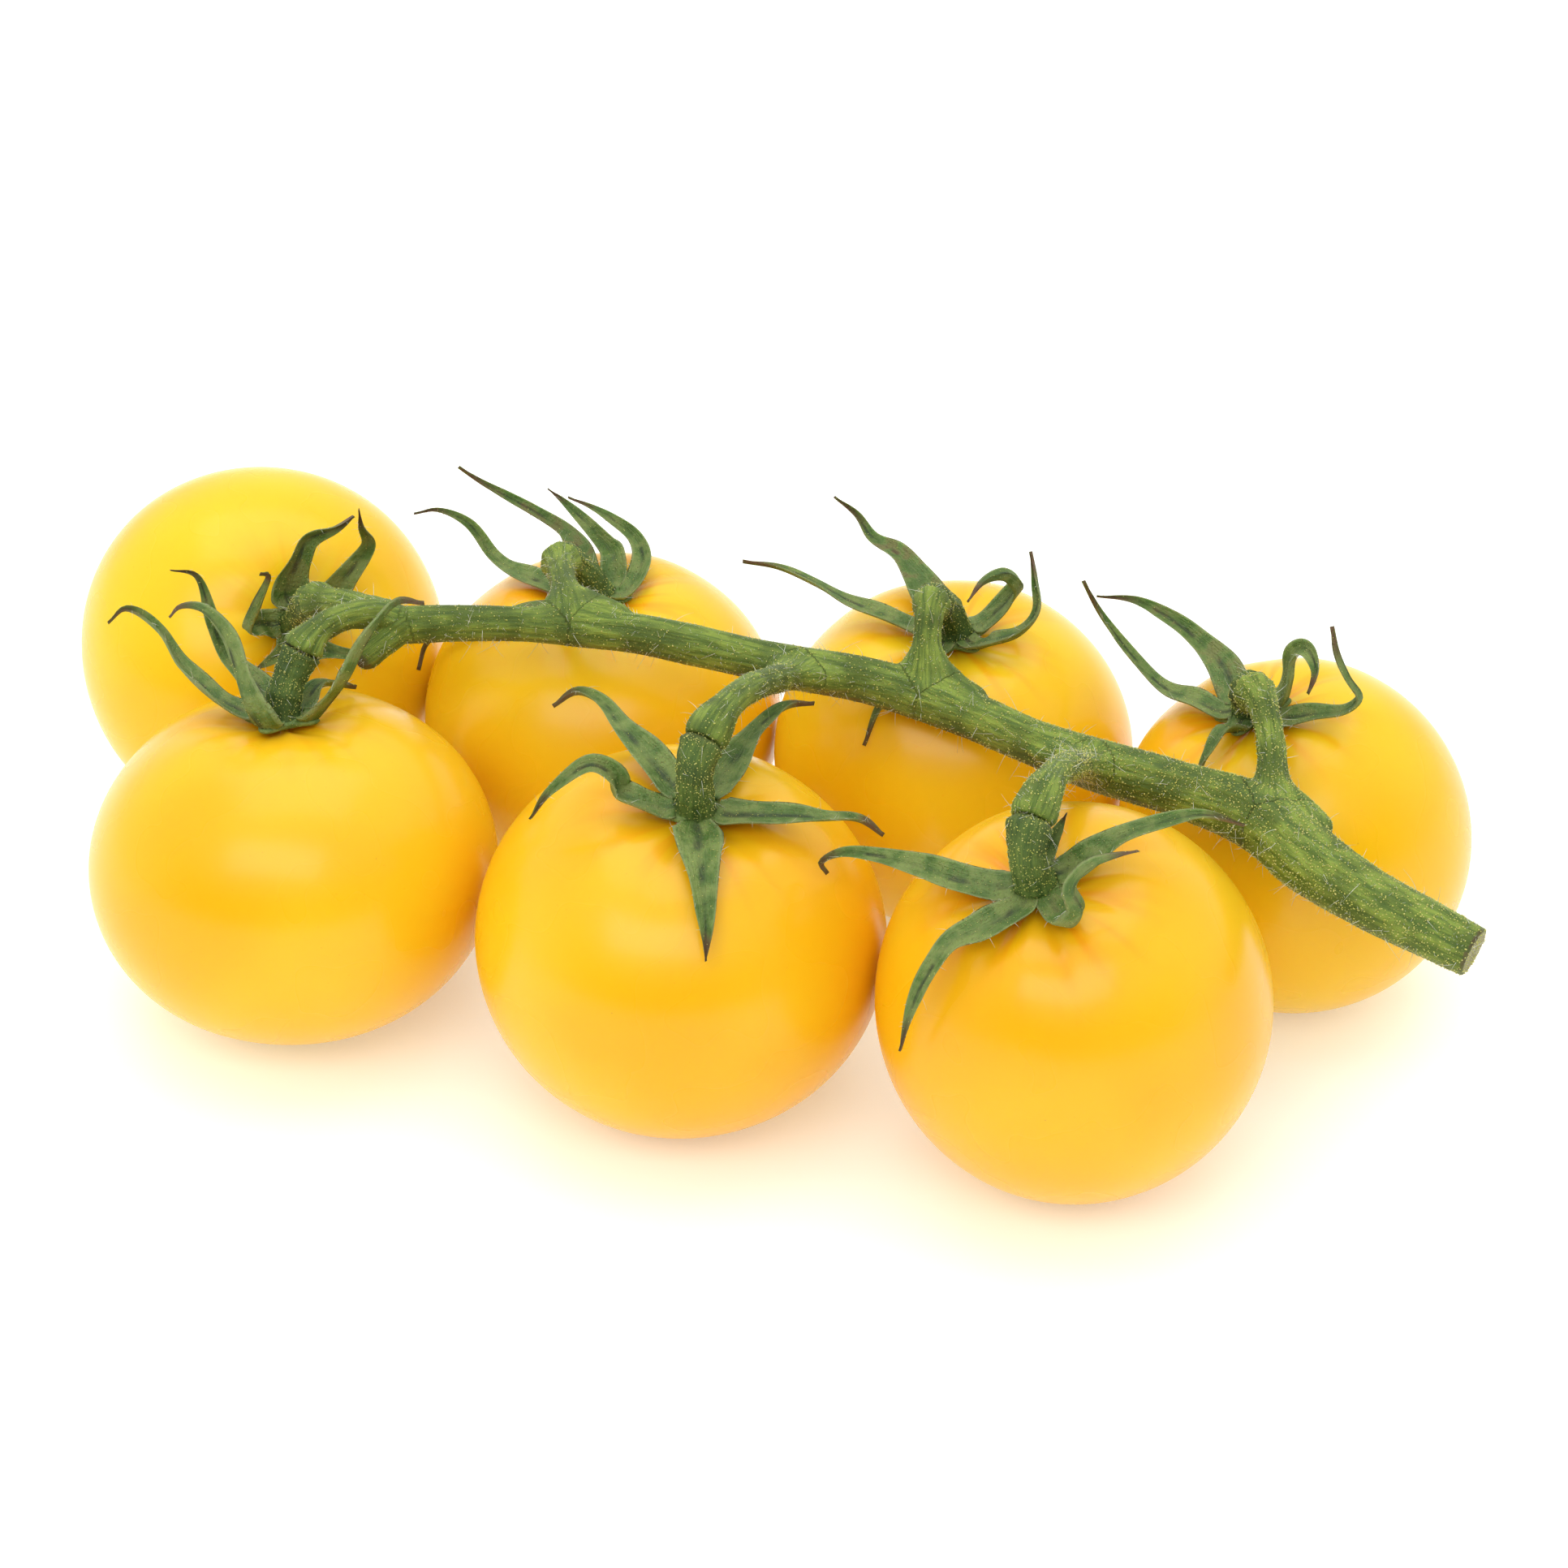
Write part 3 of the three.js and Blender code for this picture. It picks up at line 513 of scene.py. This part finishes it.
def leaf_material(name, browning, seed):
    """A sepal: darker streak on its middle, side veins, paler dotted base, dry brown tip."""
    s = Shader(name)
    across, along, _, blade = s.attribute("blade")
    shifted = s.vector("ADD", s.mm, (seed * 13.0, seed * 5.0, seed * 3.0))
    blotch = s.noise(shifted, 0.7, 3.0)
    colour = s.mix(s.ramp(blotch, 0.35, 0.65), (0.08, 0.15, 0.025), (0.21, 0.29, 0.075))
    broken = s.ramp(s.noise(s.vector("ADD", shifted, (4.0, 0.0, 8.0)), 0.45, 2.0), 0.46, 0.62, 0.15, 0.85)
    middle = s.math("MULTIPLY", s.ramp(s.math("ABSOLUTE", across), 0.06, 0.34, 1.0, 0.0), broken)
    colour = s.mix(middle, colour, (0.03, 0.05, 0.018))
    side_veins = s.noise(s.vector("MULTIPLY", blade, (5.0, 0.0, 0.5)), 1.5, 3.0)
    colour = s.mix(s.ramp(side_veins, 0.5, 0.7, 0.0, 0.5), colour, (0.21, 0.27, 0.08))
    speckle = s.ramp(s.cells(shifted, 3.4), 0.1, 0.26, 1.0, 0.0)
    dotted = s.ramp(along, 0.05, 0.7, 0.85, 0.25)
    colour = s.mix(s.math("MULTIPLY", speckle, dotted), colour, (0.42, 0.48, 0.15))
    edge = s.ramp(s.math("ABSOLUTE", across), 0.78, 1.0, 0.0, 0.65)
    colour = s.mix(edge, colour, (0.33, 0.37, 0.16))
    tip = s.ramp(s.math("ADD", along, s.math("MULTIPLY", blotch, 0.14)), 0.86 - 0.1 * browning, 1.0)
    dry = s.math("MAXIMUM", tip, s.math("MULTIPLY", s.ramp(blotch, 0.45, 0.6), browning * 0.75))
    colour = s.mix(dry, colour, (0.14, 0.075, 0.035))
    height = s.math("ADD", s.math("MULTIPLY", side_veins, 0.8), s.math("MULTIPLY", speckle, dotted))
    s.bump(s.math("ADD", height, s.math("MULTIPLY", s.noise(shifted, 4.0), 0.8)), 0.0002)
    return s.finish(
        colour, s.ramp(blotch, 0.3, 0.7, 0.46, 0.66), Subsurface_Weight=0.15,
        Subsurface_Radius=(0.4, 1.0, 0.15), Subsurface_Scale=0.0006, IOR=1.42,
    )


def speck_material(name, low, high, roughness, **plain):
    """Hairs and glandular dots: two close tints mixed by place."""
    s = Shader(name)
    colour = s.mix(s.ramp(s.noise(s.mm, 1.3), 0.35, 0.65), low, high)
    return s.finish(colour, roughness, **plain)


# ---------------------------------------------------------------- fruits
SKIN_ROWS = 144
SKIN_COLUMNS = 216
SCAR_DEPTH = 0.35  # dent at the blossom end, mm
FLAT_SOFTNESS = 0.08  # how softly the resting spot meets the skin, mm


def make_fruit(fruit, seed):
    """A lathe-like skin with the calyx's hollow, uneven ribs around it and a flat resting spot."""
    points, skin = [], []
    waves = [(k, rng.uniform(-1, 1), rng.uniform(0, 2 * math.pi)) for k in (2, 3, 4)]
    for i in range(SKIN_ROWS + 1):
        angle = math.pi * i / SKIN_ROWS
        ring = [0.0] if i in (0, SKIN_ROWS) else np.linspace(0, 2 * math.pi, SKIN_COLUMNS, endpoint=False)
        out = fruit["radius"] * math.sin(angle) ** 0.94 if 0 < i < SKIN_ROWS else 0.0
        dip = fruit["dimple"] * math.exp(-((angle / DIMPLE_SPREAD) ** 2))
        height = fruit["polar"] * math.cos(angle) - dip
        height += SCAR_DEPTH * math.exp(-(((math.pi - angle) / 0.09) ** 2))
        for turn in ring:
            wave = 0.5 - 0.5 * math.cos(fruit["ribs"] * turn)
            near = math.exp(-((angle / RIB_SPREAD) ** 2))
            uneven = sum(a * math.cos(k * turn + p) for k, a, p in waves)
            groove = max(0.0, math.cos(fruit["ribs"] * turn + math.pi)) ** 4
            crease = math.exp(-((angle - 0.36) / 0.2) ** 2) * groove
            share = 1 - RIB_DEPTH * wave * near * (1 + 0.3 * uneven) - 0.007 * crease
            share += 0.0035 * uneven * math.sin(angle)
            local = Vector((out * math.cos(turn), out * math.sin(turn), height)) * share
            points.append(np.array(fruit["turned"] @ local) + fruit["centre"])
            skin.append((angle, math.cos(turn), math.sin(turn)))
    points = np.array(points)
    lowest = points[:, 2] / FLAT_SOFTNESS
    points[:, 2] = FLAT_SOFTNESS * np.where(lowest > 20, lowest, np.log1p(np.exp(np.minimum(lowest, 20))))
    faces = []
    last = len(points) - 1
    for j in range(SKIN_COLUMNS):
        k = (j + 1) % SKIN_COLUMNS
        faces.append((0, 1 + j, 1 + k))
        low = 1 + (SKIN_ROWS - 2) * SKIN_COLUMNS
        faces.append((last, low + k, low + j))
        for i in range(SKIN_ROWS - 2):
            a, b = 1 + i * SKIN_COLUMNS, 1 + (i + 1) * SKIN_COLUMNS
            faces.append((a + j, b + j, b + k, a + k))
    piece = mesh_object(f"skin_{fruit['name']}", points, faces, {"skin": skin})
    piece.data.materials.append(skin_material(piece.name, fruit["tone"], fruit["streak"], seed))
    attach(piece, "root")
    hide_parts(f"tomato_{fruit['name']}")


# ---------------------------------------------------------------- the vine
VINE_VOXEL = 0.17  # mm
VINE_SIDES = 40
CUT_RADIUS = 1.72  # of the pith that the cut end shows, mm
END_ROUNDING = 0.3  # how much a stalk's radius shrinks at its rounded end, mm
Station = namedtuple("Station", "centre radius side normal length kind")  # length: from the stretch's start
vine_stations = []  # for every stretch of the vine


def clear_of(point, radius):
    lifted = np.array(point, float)
    while min(air_to(fruit, lifted) for fruit in TOMATOES) < radius + STEM_GAP:
        lifted[2] += 0.1
    return lifted


def ridges(count, depth, phase):
    """Low lengthwise ridges that drift around a stem, and slow swellings along it."""
    def wobble(along, turns):
        drift = phase + 0.8 * math.sin(3 * along + phase)
        swell = 0.025 * math.sin(17 * along + phase) + 0.018 * math.sin(41 * along + 2 * phase)
        return 1 + depth * np.cos(count * turns + drift) + 0.4 * depth * np.cos((count + 3) * turns) + swell
    return wobble


def add_stretch(parts, dense, radius_at, steps, kind, count=7, depth=0.03, web=0.0, first_side=None):
    points, index, length = evenly(dense, steps)
    radii = [radius_at(i / steps, index[i]) for i in range(steps + 1)]
    wider = web * np.exp(-((np.linspace(0, length, steps + 1) / FLARE_REACH) ** 2))
    wobble = ridges(count, depth, len(parts) * 1.3)
    rings, side, normal = tube_rings(points, radii, VINE_SIDES, wobble, first_side, wider)
    parts.append(loft(rings))
    for i, centre in enumerate(points):
        vine_stations.append(Station(centre, radii[i], side[i], normal[i], length * i / steps, kind))


def upper_radius(length):
    """The radius of an upper pedicel: flared at the stem, swollen to its rounded end at the knuckle."""
    def radius_at(along, _index):
        flare = FLARE * math.exp(-((along * length / FLARE_REACH) ** 2))
        swell = (KNUCKLE_RADIUS - PEDICEL_RADIUS) * math.exp(-(((1 - along) / KNUCKLE_REACH) ** 2))
        rounding = END_ROUNDING * math.exp(-((1 - along) * length / 0.16))
        return PEDICEL_RADIUS + flare + swell - rounding
    return radius_at


def make_vine():
    """Main stem, stub and upper pedicels as one grown body."""
    radii = np.array([station[3] for station in MAIN_STEM])
    through = [clear_of(station[:3], station[3]) for station in MAIN_STEM]
    dense, places = spline(through, 40)
    parts = []

    def main_radius(_along, index):
        place = np.interp(index, np.arange(len(places)), places)
        return float(np.interp(place, np.arange(len(radii)), radii))

    def stub_radius(along, _index):
        return STUB_RADIUS * (1 - 0.35 * max(0, along - 0.85) / 0.15)

    add_stretch(parts, dense, main_radius, 420, "main", 9, 0.024)
    foot = spline_point(through, STUB_STATION)
    stub, _ = spline([foot] + [foot + bend for bend in np.array(STUB)])
    add_stretch(parts, stub, stub_radius, 30, "stub")
    for fruit in TOMATOES:
        start = spline_point(through, fruit["leaves"])
        end = fruit["joint"] - fruit["heading"] * 0.05
        ease = np.linalg.norm(fruit["joint"] - start) * 0.28
        dense = bezier(start, start + fruit["start"], end - fruit["heading"] * ease, end)
        length = np.linalg.norm(np.diff(dense, axis=0), axis=1).sum()
        along_stem = spline_point(through, fruit["leaves"] + 0.1) - start
        web = 0.0 if fruit["leaves"] < 1 else WEB - FLARE
        add_stretch(parts, dense, upper_radius(length), 120, "upper", web=web, first_side=along_stem)
    points, faces = [], []
    for part_points, part_faces in parts:
        first = sum(len(p) for p in points)
        points.append(part_points)
        faces += [tuple(first + i for i in face) for face in part_faces]
    piece = mesh_object("vine_main_stem", np.vstack(points), faces)
    recalculate(piece)
    remesh = piece.modifiers.new("fuse", "REMESH")
    remesh.mode = "VOXEL"
    remesh.voxel_size = VINE_VOXEL * MM
    smooth = piece.modifiers.new("even", "SMOOTH")
    smooth.factor = 0.5
    smooth.iterations = 4
    apply_modifiers(piece)
    piece.data.shade_smooth()
    colour_vine(piece)
    piece.data.materials.append(vine_material("vine_bark", (0.085, 0.15, 0.017), (0.27, 0.36, 0.055)))
    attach(piece, "root")
    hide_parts("main_stem")
    return piece


def colour_vine(piece):
    """Attributes for the bark: place along and around the nearest stretch, cut, browning (real at the cut rim
    and the stub's end, painted shade on downward-facing bark) and dots.
    """
    tree = kdtree.KDTree(len(vine_stations))
    for i, station in enumerate(vine_stations):
        tree.insert(Vector(station.centre), i)
    tree.balance()
    main = [station for station in vine_stations if station.kind == "main"]
    main_length = main[-1].length
    cut_at = main[-1].centre
    cut_way = unit(cut_at - main[-8].centre)
    grain, tint = [], []
    for vertex in piece.data.vertices:
        place = np.array(vertex.co) / MM - OFFSET
        normal = np.array(vertex.normal)
        centre, _, side, up, length, kind = vine_stations[tree.find(Vector(place))[1]]
        offset = unit(place - centre)
        grain.append((offset.dot(side), offset.dot(up), length))
        end = kind == "main" and main_length - length < 1.2
        facing = end and normal.dot(cut_way) > 0.8
        cut = 1.0 if facing and np.linalg.norm(np.cross(place - cut_at, cut_way)) < CUT_RADIUS else 0.0
        rim = 0.75 if end and not cut and (place - cut_at).dot(cut_way) > -0.28 else 0.0
        # Downward-facing bark gets the purple-brown as painted shade, heaviest under the main stem's middle;
        # the cut rim and the stub's end are real browning.
        under = max(0.0, -normal[2])
        middle = math.exp(-(((place[0] - 6) / 13) ** 2))
        stub_end = 0.85 if kind == "stub" and length > 4.3 else 0.0
        brown = max(rim, stub_end, under * middle * 0.9 * (kind == "main"), 0.25 * under)
        right = 1 / (1 + math.exp(-(place[0] - 18) / 6))
        dotted = 0.45 + 0.55 * max(right, 0.8 * max(0.0, 0.4 - normal[2]))
        tint.append((cut, min(1.0, brown), min(1.0, dotted)))
    for key, values in (("grain", grain), ("tint", tint)):
        made = piece.data.attributes.new(key, "FLOAT_VECTOR", "POINT")
        made.data.foreach_set("vector", np.array(values, np.float32).ravel())


STALK_STEPS = 70
STALK_SIDES = 48


def make_pedicel(fruit):
    """The lower pedicel: a rounded collar under the knuckle, a darker dotted stalk and a spread foot."""
    top = fruit["joint"] + fruit["heading"] * 0.06
    foot = fruit["calyx"] + fruit["axis"] * 0.4
    ease = np.linalg.norm(foot - top) * 0.4
    dense = bezier(top, top + fruit["heading"] * ease, foot + fruit["axis"] * ease, foot)
    points, _, length = evenly(dense, STALK_STEPS)
    radii = []
    for i in range(STALK_STEPS + 1):
        along = i / STALK_STEPS
        swell = (KNUCKLE_RADIUS - LOWER_RADIUS) * math.exp(-((along / 0.14) ** 2))
        rounding = END_ROUNDING * math.exp(-((along / 0.03) ** 2))
        spread_foot = 0.25 * math.exp(-(((1 - along) / 0.14) ** 2))
        waist = -0.06 * math.exp(-(((along - 0.45) / 0.2) ** 2))
        radii.append(LOWER_RADIUS + swell - rounding + spread_foot + waist)
    wobble = ridges(8, 0.03, fruit["ribs"] + fruit["tone"] * 9)
    rings, _, _ = tube_rings(points, radii, STALK_SIDES, wobble)
    grain, tint = [], []
    turns = np.linspace(0, 2 * math.pi, STALK_SIDES, endpoint=False)
    for i in range(STALK_STEPS + 1):
        grain += [(math.cos(t), math.sin(t), length * i / STALK_STEPS) for t in turns]
        tint += [(0.0, 0.3 * math.exp(-((i / STALK_STEPS / 0.05) ** 2)), 1.0)] * STALK_SIDES
    grain += [(0, 0, 0), (0, 0, length)]
    tint += [(0, 0.3, 1), (0, 0, 1)]
    points_all, faces = loft(rings)
    piece = mesh_object(f"stalk_{fruit['name']}", points_all, faces, {"grain": grain, "tint": tint})
    recalculate(piece)
    piece.data.materials.append(stalk_finish)
    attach(piece, "root")
    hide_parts(f"pedicel_{fruit['name']}")
    return piece


# ---------------------------------------------------------------- calyx
BLADE_STEPS = 44
BLADE_COLUMNS = 13
HUB_COLUMNS = 90


def bent_clear(point, bark):
    moved = np.array(point, float)
    for centre, radius in bark:
        away = moved - centre
        short = radius + BARK_GAP - np.linalg.norm(away)
        if short > 0:
            moved = moved + unit(away) * short
    while min(air_to(fruit, moved) for fruit in TOMATOES) < SEPAL_GAP:
        moved[2] += 0.05
    return moved


def make_sepal(fruit, index, bark):
    """A keeled blade: gutter-shaped, wavy at its edges, rolled and dried at its tip."""
    width, *row = fruit["sepals"][index]
    through = [on_fruit(fruit, row[0][0], ROOT_RADIUS - 0.75, SEPAL_SEAT + 0.1)]
    through.append(on_fruit(fruit, row[0][0], ROOT_RADIUS, SEPAL_SEAT))
    for bend, out, rise in row[1:]:
        through.append(bent_clear(on_fruit(fruit, bend, max(ROOT_RADIUS, out), rise), bark))
    dense, _ = spline(through)
    points, _, length = evenly(dense, BLADE_STEPS)
    turn = math.radians(row[0][0])
    first_side = np.array(fruit["turned"] @ Vector((-math.sin(turn), math.cos(turn), 0)))
    side, normal = carry_frames(points, first_side)
    columns = np.linspace(-1, 1, BLADE_COLUMNS)
    phase, waves = rng.uniform(0, 6), rng.uniform(5, 8)
    twist_end = rng.uniform(-0.5, 0.5)
    fold_middle = rng.uniform(0.35, 0.6)
    rings, blade = [], []
    for i, centre in enumerate(points):
        along = i / BLADE_STEPS
        half = width / 2 * (1 - along) ** 0.72 * (1 + 0.16 * math.exp(-(((along - 0.22) / 0.16) ** 2)))
        half = min(max(0.13, half * 1.06), 1.15 + 7 * along)
        fold = 0.22 + (fold_middle - 0.22) * min(1, along / 0.35) + 0.75 * max(0, along - 0.7) / 0.3
        twist = twist_end * along**1.5
        across = side[i] * math.cos(twist) + normal[i] * math.sin(twist)
        upward = -normal[i] * math.cos(twist) + side[i] * math.sin(twist)
        upper, lower = [], []
        for s in columns:
            ripple = 0.16 * half * s * s * math.sin(waves * along * 2 + phase + s)
            lift = half * fold * (abs(s) ** 1.6) + ripple
            flat = half * s * math.sqrt(max(0.2, 1 - fold**2 * 0.5))
            thick = 0.26 * (1 - 0.62 * s * s) * (1 - 0.45 * along)
            rib = 0.2 * math.exp(-((s / 0.2) ** 2)) * (1 - 0.7 * along)
            groove = 0.09 * math.exp(-((s / 0.14) ** 2)) * (1 - along)
            middle = centre + across * flat + upward * (lift - 0.12)
            upper.append((middle + upward * (thick - groove), s))
            lower.append((middle - upward * (thick * 0.6 + rib), s))
        ring = upper + lower[::-1][1:-1]
        rings.append([p for p, _ in ring])
        blade += [(s, along, length * along) for _, s in ring]
    points_all, faces = loft(rings)
    blade += [(0, 0, 0), (0, 1, length)]
    name = f"{fruit['name']}_{index + 1}"
    piece = mesh_object(f"leaf_{name}", points_all, faces, {"blade": blade})
    recalculate(piece)
    piece.data.materials.append(leaf_material(piece.name, fruit["browning"][index], index + fruit["ribs"]))
    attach(piece, "root")
    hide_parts(f"sepal_{name}")
    return piece, rings


def make_hub(fruit):
    """The fused base of the sepals: a small star around the pedicel's foot with rounded notches."""
    turns = [math.radians(row[1][0]) for row in fruit["sepals"]]
    rings, blade = [], []
    for j in range(HUB_COLUMNS):
        angle = 2 * math.pi * j / HUB_COLUMNS
        gaps = [abs((angle - t + math.pi) % (2 * math.pi) - math.pi) for t in turns]
        lobe = max(math.exp(-((gap / 0.4) ** 2)) for gap in gaps)
        outer = 1.95 + 1.25 * lobe
        profile = [(1.15, 1.5), (1.42, 1.1), (1.62, 0.98), (0.5 * (1.62 + outer), 0.95), (outer - 0.12, 0.86),
                   (outer, 0.68), (outer - 0.2, 0.5), (0.5 * (1.6 + outer), 0.42), (1.2, 0.35)]
        degrees = math.degrees(angle)
        rings.append([on_fruit(fruit, degrees, out, height) for out, height in profile])
        blade += [(0.6, 0.02, out) for out, _ in profile]
    rings = np.array(rings)
    points = rings.reshape(-1, 3)
    size = rings.shape[1]
    faces = []
    for j in range(HUB_COLUMNS):
        for k in range(size):
            a, b = j * size, (j + 1) % HUB_COLUMNS * size
            faces.append((a + k, b + k, b + (k + 1) % size, a + (k + 1) % size))
    piece = mesh_object(f"hub_{fruit['name']}", points, faces, {"blade": blade})
    recalculate(piece)
    piece.data.materials.append(leaf_material(piece.name, 0.0, fruit["ribs"]))
    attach(piece, "root")


# ---------------------------------------------------------------- dots and hairs
HAIR_STEPS = 5
EDGE_HAIRS = 16  # on each sepal


def surface_samples(piece, count, wanted):
    """Seeded places on a mesh, in table millimetres, kept with the chance that wanted() gives."""
    mesh = piece.data
    areas = np.array([p.area for p in mesh.polygons])
    total = np.cumsum(areas)
    found = []
    tries = 0
    while len(found) < count and tries < count * 12:
        tries += 1
        polygon = mesh.polygons[int(np.searchsorted(total, rng.random() * total[-1]))]
        place = np.array(polygon.center) / MM - OFFSET
        normal = np.array(polygon.normal)
        if rng.random() < wanted(place, normal):
            jitter = np.array([rng.uniform(-0.08, 0.08) for _ in range(3)])
            found.append((place + jitter - jitter.dot(normal) * normal, normal))
    return found


def anywhere(_place, _normal):
    return 1.0


def make_dots(name, samples, low, high, material):
    """Glandular dots: little rounded knobs, sunk a third into the surface."""
    work = bmesh.new()
    bmesh.ops.create_icosphere(work, subdivisions=1, radius=1)
    ball = np.array([v.co for v in work.verts])
    corners = [[v.index for v in face.verts] for face in work.faces]
    work.free()
    points, faces = [], []
    for place, normal in samples:
        size = rng.uniform(low, high)
        faces += [[len(points) * len(ball) + i for i in face] for face in corners]
        points.append(ball * size + place + normal * size * 0.4)
    piece = mesh_object(name, np.vstack(points), faces)
    piece.data.materials.append(material)
    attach(piece, "root")


def hair_rings(root, way, bend, length, thickness):
    rings = []
    first = unit(np.cross(way, bend) + 1e-6)
    second = unit(np.cross(way, first))
    for i in range(HAIR_STEPS + 1):
        along = i / HAIR_STEPS
        centre = root + way * length * along + bend * length * 0.45 * along**2
        size = thickness * (1 - 0.8 * along)
        rings.append([centre + (first * math.cos(a) + second * math.sin(a)) * size for a in (0, 2.1, 4.2)])
    return np.array(rings)


def make_hairs(name, roots, low, high, thickness, material):
    """Soft curved hairs, tapering, in one mesh."""
    points, faces = [], []
    for root, normal in roots:
        lean = np.array([rng.gauss(0, 1) for _ in range(3)])
        way = unit(normal + 0.45 * lean)
        bend = unit(lean - lean.dot(normal) * normal + [0, 0, -0.4])
        length = low + (high - low) * rng.random() ** 2
        added, more = loft(hair_rings(root - normal * 0.05, way, bend, length, thickness), len(points))
        points += list(added)
        faces += more
    piece = mesh_object(name, points, faces)
    recalculate(piece)
    piece.data.materials.append(material)
    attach(piece, "root")


# ---------------------------------------------------------------- the truss
settle_fruits()
for number, tomato in enumerate(TOMATOES):
    make_fruit(tomato, number + 1)
vine = make_vine()
stalk_finish = vine_material("stalk_bark", (0.055, 0.11, 0.017), (0.145, 0.215, 0.04))
bark_points = [(station.centre, station.radius) for station in vine_stations[::6]]
stalks = [make_pedicel(tomato) for tomato in TOMATOES]
edge_roots = []
leaf_samples = []
for tomato in TOMATOES:
    make_hub(tomato)
    for which in range(len(tomato["sepals"])):
        leaf, blade_rings = make_sepal(tomato, which, bark_points)
        leaf_samples += surface_samples(leaf, 70, anywhere)
        for _ in range(EDGE_HAIRS):
            station = rng.randint(2, BLADE_STEPS - 4)
            column = rng.choice((0, BLADE_COLUMNS - 1))
            ring = np.array(blade_rings[station])
            edge_roots.append((ring[column], unit(ring[column] - ring.mean(axis=0))))

dot_finish = speck_material("gland_dots", (0.5, 0.52, 0.1), (0.66, 0.62, 0.2), 0.35, IOR=1.45)
hair_finish = speck_material("fine_hairs", (0.72, 0.74, 0.55), (0.85, 0.86, 0.74), 0.5, Alpha=0.85)


def on_vine(place, normal):
    right = 1 / (1 + math.exp(-(place[0] - 20) / 5))
    return min(1, 0.25 + 0.75 * right + 0.5 * max(0.0, -normal[2]))


make_dots("vine_dots", surface_samples(vine, 9000, on_vine), 0.04, 0.07, dot_finish)
stalk_samples = [sample for stalk in stalks for sample in surface_samples(stalk, 520, anywhere)]
make_dots("stalk_dots", stalk_samples, 0.035, 0.06, dot_finish)
make_hairs("vine_hairs", surface_samples(vine, 620, anywhere), 0.5, 1.8, 0.028, hair_finish)
make_hairs("vine_fuzz", surface_samples(vine, 4200, anywhere), 0.15, 0.45, 0.02, hair_finish)
stalk_roots = [sample for stalk in stalks for sample in surface_samples(stalk, 26, anywhere)]
make_hairs("stalk_hairs", stalk_roots, 0.4, 1.3, 0.024, hair_finish)
make_dots("sepal_dots", leaf_samples, 0.025, 0.045, dot_finish)
make_hairs("sepal_hairs", edge_roots, 0.25, 0.8, 0.02, hair_finish)

# ---------------------------------------------------------------- floor, light and camera
TARGET = Vector((OFFSET[0] * MM, OFFSET[1] * MM, 0.016))
ELEVATION = math.radians(32)
DISTANCE = 0.33557
LIT_SPOT = Vector((0, 0, 0.01))


def make_floor():
    """A white table that glows a little, so that shadows stay pale."""
    bpy.ops.mesh.primitive_plane_add(size=6, location=(0, 0, -0.0001))
    floor = bpy.context.object
    floor.name = "floor"
    s = Shader("floor_white")
    pale = s.mix(s.noise(s.mm, 0.01), (0.92, 0.905, 0.84), (0.94, 0.925, 0.86))
    s.put(s.body.inputs["Emission Color"], (0.86, 0.97, 0.98, 1.0))
    floor.data.materials.append(s.finish(pale, 0.6, Emission_Strength=0.3))


def make_world():
    """A white studio, dimmer low down on the camera's side."""
    world = bpy.data.worlds.new("studio")
    world.use_nodes = True
    tree = world.node_tree
    way = tree.nodes.new("ShaderNodeSeparateXYZ")
    tree.links.new(tree.nodes.new("ShaderNodeTexCoord").outputs["Generated"], way.inputs[0])
    shares = []
    for output, low, high in (("Y", -0.85, 0.1), ("Z", 0.2, 0.7)):
        ramp = tree.nodes.new("ShaderNodeMapRange")
        ramp.interpolation_type = "SMOOTHSTEP"
        tree.links.new(way.outputs[output], ramp.inputs["Value"])
        ramp.inputs["From Min"].default_value = low
        ramp.inputs["From Max"].default_value = high
        ramp.inputs["To Min"].default_value = 0.04
        ramp.inputs["To Max"].default_value = 0.95
        shares.append(ramp.outputs[0])
    brighter = tree.nodes.new("ShaderNodeMath")
    brighter.operation = "MAXIMUM"
    tree.links.new(shares[0], brighter.inputs[0])
    tree.links.new(shares[1], brighter.inputs[1])
    tree.links.new(brighter.outputs[0], tree.nodes["Background"].inputs["Strength"])
    tree.nodes["Background"].inputs["Color"].default_value = (1, 1, 1, 1)
    bpy.context.scene.world = world


def soft_light(name, place, size, watts):
    data = bpy.data.lights.new(name, "AREA")
    data.shape = "RECTANGLE"
    data.size, data.size_y = size
    data.energy = watts
    lamp = bpy.data.objects.new(name, data)
    lamp.location = place
    lamp.rotation_euler = (LIT_SPOT - Vector(place)).to_track_quat("-Z", "Y").to_euler()
    bpy.context.scene.collection.objects.link(lamp)


make_floor()
make_world()
soft_light("overhead", (0, 0.1, 0.6), (0.6, 0.5), 1.4)
soft_light("front", (-0.1, -0.45, 0.5), (0.6, 0.26), 1.4)

camera_data = bpy.data.cameras.new("camera")
camera_data.sensor_width = 36
camera_data.lens = 93.17
camera = bpy.data.objects.new("camera", camera_data)
camera.location = TARGET + Vector((0, -math.cos(ELEVATION), math.sin(ELEVATION))) * DISTANCE
camera.rotation_euler = (math.pi / 2 - ELEVATION, 0, 0)
bpy.context.scene.collection.objects.link(camera)
bpy.context.scene.camera = camera
bpy.context.scene.view_settings.view_transform = "Standard"
